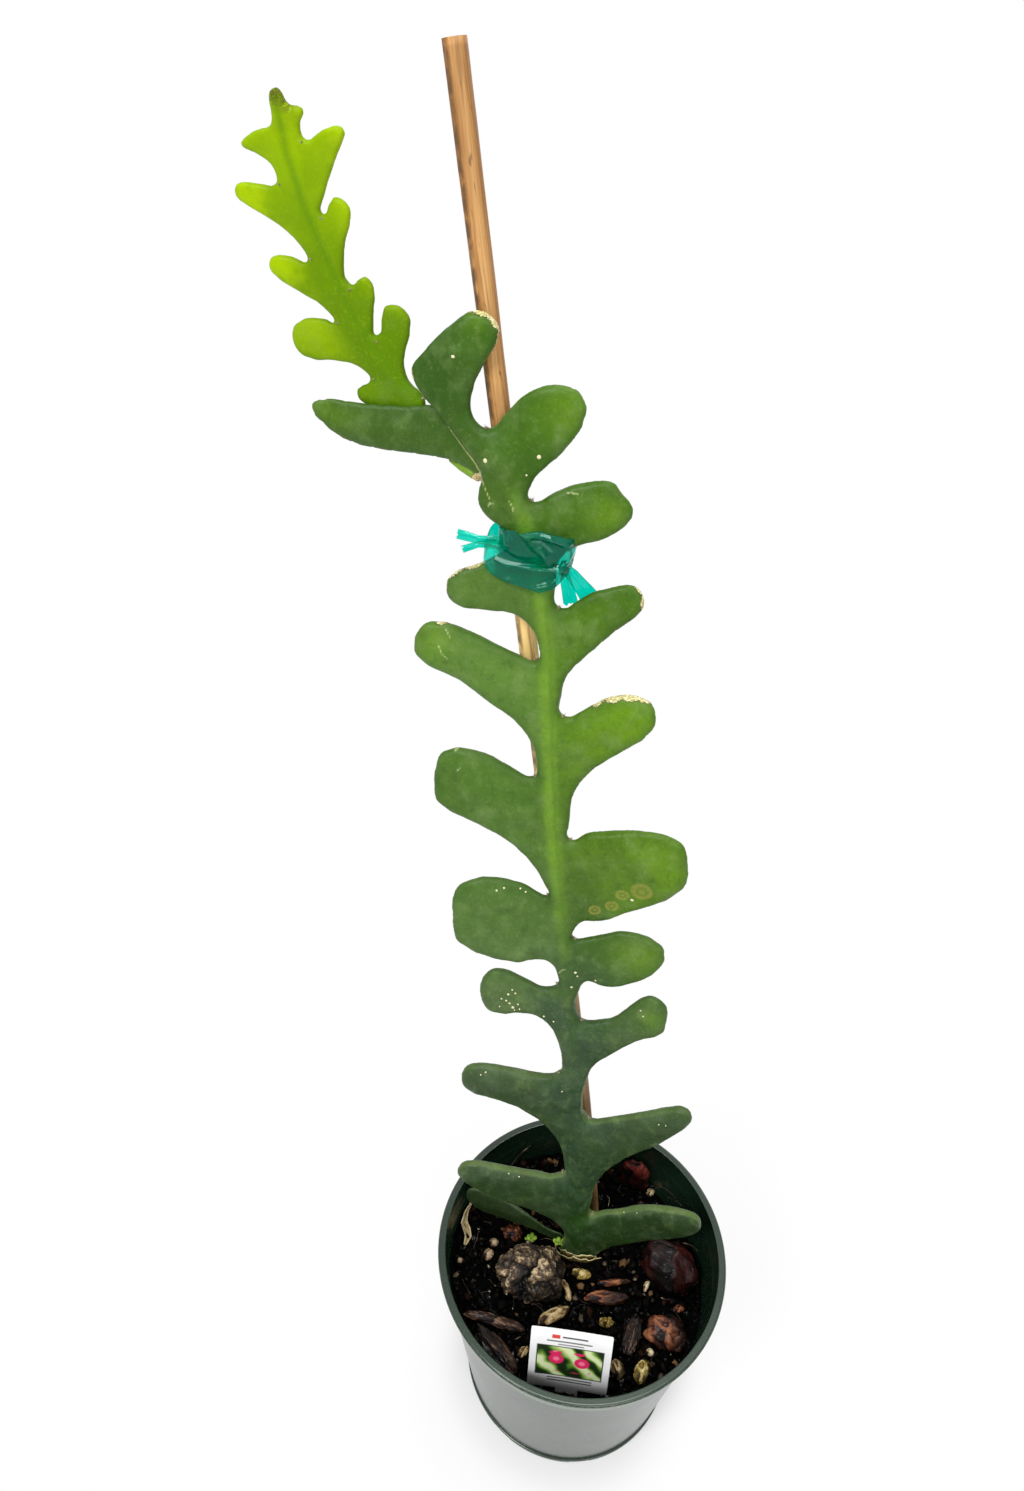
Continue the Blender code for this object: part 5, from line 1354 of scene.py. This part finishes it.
# Each end's route, as x, height, distance behind the stem's face and width; its pleats and its seed
TAPE_ENDS = {
    "tape_end_left_upper": ([(-67, 543.6, -2.8, 5.0), (-73, 543.8, -3.2, 4.2), (-79, 543.9, -3.6, 3.0),
                             (-87, 545.4, -4.2, 3.8)], 1.6, 1.0),
    "tape_end_left_lower": ([(-67, 542.6, -2.4, 4.4), (-73, 542.4, -2.8, 3.8), (-79, 541.6, -3.0, 2.4),
                             (-85, 539.0, -3.4, 2.6)], 1.4, 5.0),
    "tape_end_right_upper": ([(-44.6, 537.0, -1.5, 2.8), (-42.2, 532.2, 2.0, 5.2), (-34.2, 522.2, 4.6, 8.0)],
                             2.2, 3.0),
    "tape_end_right_lower": ([(-45.4, 535.4, -1.0, 2.6), (-44.4, 529.6, 2.2, 4.4), (-41.8, 518.8, 4.4, 6.0)],
                             1.6, 8.0),
}
for name, making in TAPE_ENDS.items():
    add_piece(name, tape_end(name, *making), tape, "tie_tape")

# Plant label -------------------------------------------------------------------------------------
# A thin white plastic tag with rounded corners, pushed into the mix just inside the front of the
# pot. Its front has a plain printed panel of green bands and pink dots, and no lettering.

label_points = points_of(frame["nodes"]["plant_label"].data)
label_centre = Vector(label_points.mean(0))
label_axes = np.linalg.svd(label_points - label_points.mean(0))[2]
label_up = Vector(label_axes[0]) * math.copysign(1, label_axes[0][2])
label_right = Vector(label_axes[1]) * math.copysign(1, label_axes[1][0])
label_front = label_right.cross(label_up)
label_frame = Matrix((label_right, label_up, label_front)).transposed()
label_local = np.array([label_frame.transposed() @ (Vector(point) - label_centre) for point in label_points])
LABEL_HALF_WIDTH = label_local[:, 0].max() / MM
LABEL_TOP = label_local[:, 1].max() / MM
LABEL_BOTTOM = label_local[:, 1].min() / MM
LABEL_HEIGHT = 45.7
LABEL_TAIL = 6.0              # half the width of the tail that goes into the mix


def label_plate():
    """The tag's outline is filled, its corners rounded, then cut into a grid, bowed and thickened."""
    half, tail = LABEL_HALF_WIDTH, LABEL_TAIL
    foot = LABEL_TOP - LABEL_HEIGHT
    bm = bmesh.new()
    outline = [(-tail, LABEL_BOTTOM + 4), (0, LABEL_BOTTOM), (tail, LABEL_BOTTOM + 4), (tail, foot),
               (half, foot), (half, LABEL_TOP), (-half, LABEL_TOP), (-half, foot), (-tail, foot)]
    corners = [bm.verts.new((x, y, 0)) for x, y in outline]
    bm.faces.new(corners)
    bmesh.ops.bevel(bm, geom=corners[4:8], offset=0.9, offset_type="OFFSET", affect="VERTICES", segments=6,
                    profile=0.5, material=-1)
    for count in range(-14, 15):
        for across, normal in (((count * 1.5, 0, 0), (1, 0, 0)), ((0, count * 2.2, 0), (0, 1, 0))):
            geom = bm.verts[:] + bm.edges[:] + bm.faces[:]
            bmesh.ops.bisect_plane(bm, geom=geom, plane_co=across, plane_no=normal)
    uv = bm.loops.layers.uv.new("print")
    for face in bm.faces:
        for loop in face.loops:
            x, y = loop.vert.co.x, loop.vert.co.y
            loop[uv].uv = (0.5 + x / (2 * half), (y - foot) / LABEL_HEIGHT)
    for vert in bm.verts:
        bow = 0.7 * (vert.co.x / half) ** 2 - 0.5 * (vert.co.y / 20) ** 2 + 0.25 * noise.noise(vert.co / 14)
        vert.co.z = 0.6 * bow
        vert.co = label_centre + label_frame @ (vert.co * MM)
    bmesh.ops.recalc_face_normals(bm, faces=bm.faces)
    if sum(face.normal.y for face in bm.faces) > 0:
        bmesh.ops.reverse_faces(bm, faces=bm.faces)
    rounded = ("BEVEL", {"width": 0.12 * MM, "segments": 2, "limit_method": "ANGLE"})
    return thickened("label_plate", bm, 0.6, rounded)


def printed_label():
    """White plastic, printed on the front: plain bars, and a panel of green bands and pink dots."""
    finish = Finish("printed_label", {"IOR": 1.46, "Coat Weight": 0.15, "Coat Roughness": 0.25})
    place = finish.node("ShaderNodeUVMap", {"uv_map": "print"})
    u, v = finish.axis("X", place), finish.axis("Y", place)

    def bar(low_u, high_u, low_v, high_v, soft=0.006):
        return (u.between(low_u - soft, low_u + soft) * u.between(high_u + soft, high_u - soft)
                * v.between(low_v - soft, low_v + soft) * v.between(high_v + soft, high_v - soft))

    values = {"Vector": place, "Scale": 1.5, "Distortion": 5.0, "Detail": 2.0, "Detail Scale": 1.6}
    settings = {"wave_type": "BANDS", "bands_direction": "DIAGONAL"}
    wave = finish.node("ShaderNodeTexWave", settings, values, "Fac")
    values = {"Vector": finish.stretched((4.2, 4.6, 1.0), place), "Scale": 1.0, "Randomness": 0.75}
    settings = {"feature": "F1", "voronoi_dimensions": "2D"}
    dots = finish.node("ShaderNodeTexVoronoi", settings, values, "Distance")
    bed = ((u - 0.5).away().between(0.34, 0.16) * (v - 0.48).away().between(0.22, 0.10)).between(0.2, 0.5)
    panel = finish.tint(
        finish.ramp(wave, (0.12, 22, 40, 16), (0.35, 78, 120, 40), (0.60, 158, 186, 96),
                    (0.85, 214, 226, 176)),
        (dots.between(0.42, 0.36) * bed, 214, 40, 96),
        (dots.between(0.22, 0.10) * bed, 244, 122, 150))
    printed = finish.tint(
        finish.mix(finish.noise(9, 3.0), shade(232, 232, 232), shade(242, 242, 242)),
        # Grey towards the bottom of the printed front: painted shade from inside the pot
        (v.between(0.30, 0.0) * 0.75, 96, 98, 96),
        (bar(0.26, 0.36, 0.855, 0.915), 206, 58, 50),
        (bar(0.39, 0.70, 0.872, 0.897), 60, 58, 58),
        (bar(0.20, 0.76, 0.80, 0.822) * 0.9, 70, 70, 70),
        (bar(0.34, 0.66, 0.755, 0.775) * 0.8, 84, 84, 84),
        (bar(0.085, 0.915, 0.225, 0.735), 40, 44, 38))
    printed = finish.tint(
        finish.mix(bar(0.10, 0.90, 0.24, 0.72), printed, panel),
        *((bar(0.24, 0.80, level, level + 0.022) * 0.9, 30, 32, 30) for level in (0.175, 0.13)))
    facing = finish.axis("Y", finish.node("ShaderNodeNewGeometry", output="Normal")).between(-0.2, -0.5)
    plain = finish.mix(finish.noise(7, 3.0), shade(228, 228, 226), shade(240, 240, 238))
    splash = finish.noise(2.2, 5.0, roughness=0.7).between(0.64, 0.72) * v.between(0.5, 0.0)
    colour = finish.tint(finish.mix(facing, plain, printed), (splash * 0.6, 48, 38, 30))
    return finish.done(colour, finish.noise(2, 3.0) * 0.12 + 0.30)


add_piece("label_plate", label_plate(), printed_label(), "label_plastic", "plant_label")

# Foot of the stem --------------------------------------------------------------------------------
# Where the stem leaves the mix it keeps a collar of old papery sheath, and two weed seedlings have
# come up beside it.

SHEATH_X, SHEATH_Y = -1.6, 8.6
# Each cup of the sheath: from angle to angle in degrees, half width, half depth, height and flare
SHEATH_CUPS = [(170, 345, 10.8, 3.6, 6.6, 0.6), (195, 352, 13.0, 5.0, 5.0, 1.2),
               (155, 225, 13.0, 4.4, 4.6, 1.0)]


def old_sheath():
    """Torn papery cups, nested round the stem's foot and thinning to a ragged edge."""
    bm = bmesh.new()
    tone = bm.verts.layers.float.new("tone")
    for start, end, half_width, half_depth, height, flare in SHEATH_CUPS:
        for vert in bmesh.ops.create_grid(bm, x_segments=60, y_segments=10, size=0.5)["verts"]:
            along, share = vert.co.x + 0.5, vert.co.y + 0.5
            angle = math.radians(start + (end - start) * along)
            torn = 0.85 + 0.45 * wobble(along * 8, start, 0) + 0.2 * wobble(along * 25, start, 0)
            rise = height * share * torn * math.sin(math.pi * min(0.95, max(0.05, along))) ** 0.5
            wave = 0.5 * wobble(along * 6, share * 2, start)
            reach = 1.0 + (flare * share * share + wave) / half_width
            x = SHEATH_X + half_width * reach * math.cos(angle)
            y = SHEATH_Y + half_depth * reach * math.sin(angle) + 0.12 * rise
            vert.co = Vector((x, y, mix_level(x, y) - 0.8 + rise)) * MM
            vert[tone] = 0.15 + 0.85 * share ** 1.5 + 0.25 * wobble(along * 14, share * 3, start)
    return thickened("old_sheath", bm, 0.35)


def papery_sheath():
    """Old sheath: brown below, cream with a touch of green along its edge."""
    finish = Finish("papery_sheath", {"IOR": 1.4})
    veins = finish.noise(0.8, 4.0, finish.stretched((1.0, 1.0, 0.3)))
    paper = finish.ramp(finish.stored("tone") + veins * 0.3, (0.25, 46, 34, 18), (0.65, 92, 74, 38),
                        (1.02, 138, 122, 70), (1.22, 216, 204, 154))
    return finish.done(paper, veins * 0.3 + 0.4, veins, 0.2)


# Seedlings: x, y, height above the mix, number of leaves and their size
SEEDLINGS = [(-29.7, 10.0, 1.6, 4, 2.6), (-32.0, 9.6, 1.0, 3, 2.0), (-14.4, 9.6, 6.0, 4, 2.5),
             (-11.2, 9.8, 6.4, 4, 2.3)]


def seedlings():
    """Tiny weed seedlings, each a rosette of round leaves."""
    bm = bmesh.new()
    tone = bm.verts.layers.float.new("tone")
    for x, y, stalk, count, size in SEEDLINGS:
        for leaf in range(count):
            verts = bmesh.ops.create_circle(bm, cap_ends=True, segments=14, radius=1.0)["verts"]
            angle = math.tau * leaf / count + x
            lift = rng.uniform(0.0, 1.4)
            level = rng.uniform(0.3, 1.0)
            for vert in verts:
                cup = 0.25 * (vert.co.x ** 2 + vert.co.y ** 2)
                local = Vector(((vert.co.x + 0.9) * size * 0.7, vert.co.y * size * 0.55,
                                cup * size * 0.5 + lift))
                local.rotate(Euler((0, -0.35, angle)))
                vert.co = (Vector((x, y, mix_level(x, y) + stalk)) + local) * MM
                vert[tone] = level
    return thickened("seedlings", bm, 0.3)


def seedling_green():
    """Fresh yellow-green leaves."""
    finish = Finish("seedling_green", {"IOR": 1.4})
    green = finish.mix(finish.stored("tone"), shade(78, 116, 30), shade(150, 184, 60))
    grain = finish.noise(0.8, 3.0)
    return finish.done(green, grain * 0.2 + 0.4, grain, 0.15)


add_piece("old_sheath", old_sheath(), papery_sheath(), "dry_leaf")
add_piece("seedlings", seedlings(), seedling_green(), "young_green")

# Studio ------------------------------------------------------------------------------------------
# A white floor that runs out of sight, broad soft lamps in front and to both sides, and a camera
# that looks down on the pot from just above the plant's top.


def seen_by_camera(finish):
    """1 for what the camera sees straight, reflected or through the tape, and 0 for light on the plant."""
    seen = finish.node("ShaderNodeLightPath", output="Is Camera Ray")
    for ray in ("Is Glossy Ray", "Is Transmission Ray"):
        seen = seen.larger(finish.node("ShaderNodeLightPath", output=ray))
    return seen


def studio_floor():
    """White floor: it keeps the pot's soft shadow, and farther out it is plain white."""
    finish = Finish("studio_floor", {"Roughness": 0.9, "Specular IOR Level": 0.0})
    white = finish.mix(finish.noise(900, 2.0), shade(234, 234, 234), shade(238, 238, 238))
    finish.feed(finish.shader.inputs["Base Color"], white)
    glow = finish.node("ShaderNodeEmission", values={"Color": (1, 1, 1, 1), "Strength": 1.0})
    away = finish.node("ShaderNodeVectorMath", {"operation": "LENGTH"}, {0: finish.place()}, "Value")
    plain = Tone(finish, finish.shader.outputs[0])
    bright = away.between(0.064, 0.09) * 0.40 + away.between(0.10, 0.30) * 0.18 + 0.42
    mixed = finish.node("ShaderNodeMixShader", values={0: seen_by_camera(finish) * bright, 1: plain, 2: glow})
    finish.tree.links.new(mixed.socket, finish.tree.nodes["Material Output"].inputs["Surface"])
    return finish.material


bm = bmesh.new()
bmesh.ops.create_grid(bm, x_segments=2, y_segments=2, size=40.0)
floor = set_out("floor", mesh_of("floor", bm))
floor.data.materials.append(studio_floor())

SOFT_LIGHT = 0.38             # how bright the surroundings are for everything but the camera's view
sky = Finish("studio", {"Color": (1, 1, 1, 1)}, "worlds", "Background")
sky.feed(sky.shader.inputs["Strength"], seen_by_camera(sky) * (1.0 - SOFT_LIGHT) + SOFT_LIGHT)
bpy.context.scene.world = sky.material

# Each lamp's place in metres, its size and its power
LAMPS = {"key": ((-0.9, -1.3, 2.1), 0.8, 33.0), "fill": ((0.7, -1.4, 1.2), 1.2, 11.0),
         "top": ((0.1, 0.2, 2.4), 0.9, 22.0), "rim": ((0.6, 1.8, 1.2), 1.2, 8.0)}
LAMP_TARGET = Vector((-0.03, 0.03, 0.3))
for name, (place, size, power) in LAMPS.items():
    lamp = bpy.data.lights.new(name, "AREA")
    lamp.shape = "DISK"
    lamp.size = size
    lamp.energy = power
    obj = set_out(name, lamp)
    obj.location = place
    obj.rotation_euler = (LAMP_TARGET - Vector(place)).to_track_quat("-Z", "Y").to_euler()

CAMERA_RIGHT = Vector((0.97947, 0.19958, 0.02848))
CAMERA_UP = Vector((-0.14636, 0.60678, 0.78128))
CAMERA_PLACE = (0.0, -0.28325, 0.72777)
CAMERA_LENS = 24.63
camera = set_out("camera", bpy.data.cameras.new("camera"))
camera.data.lens = CAMERA_LENS
camera.data.clip_end = 200.0
camera.location = CAMERA_PLACE
turn = Matrix((CAMERA_RIGHT, CAMERA_UP, CAMERA_RIGHT.cross(CAMERA_UP))).transposed()
camera.rotation_euler = turn.to_euler()
bpy.context.scene.camera = camera
bpy.context.scene.view_settings.view_transform = "Standard"
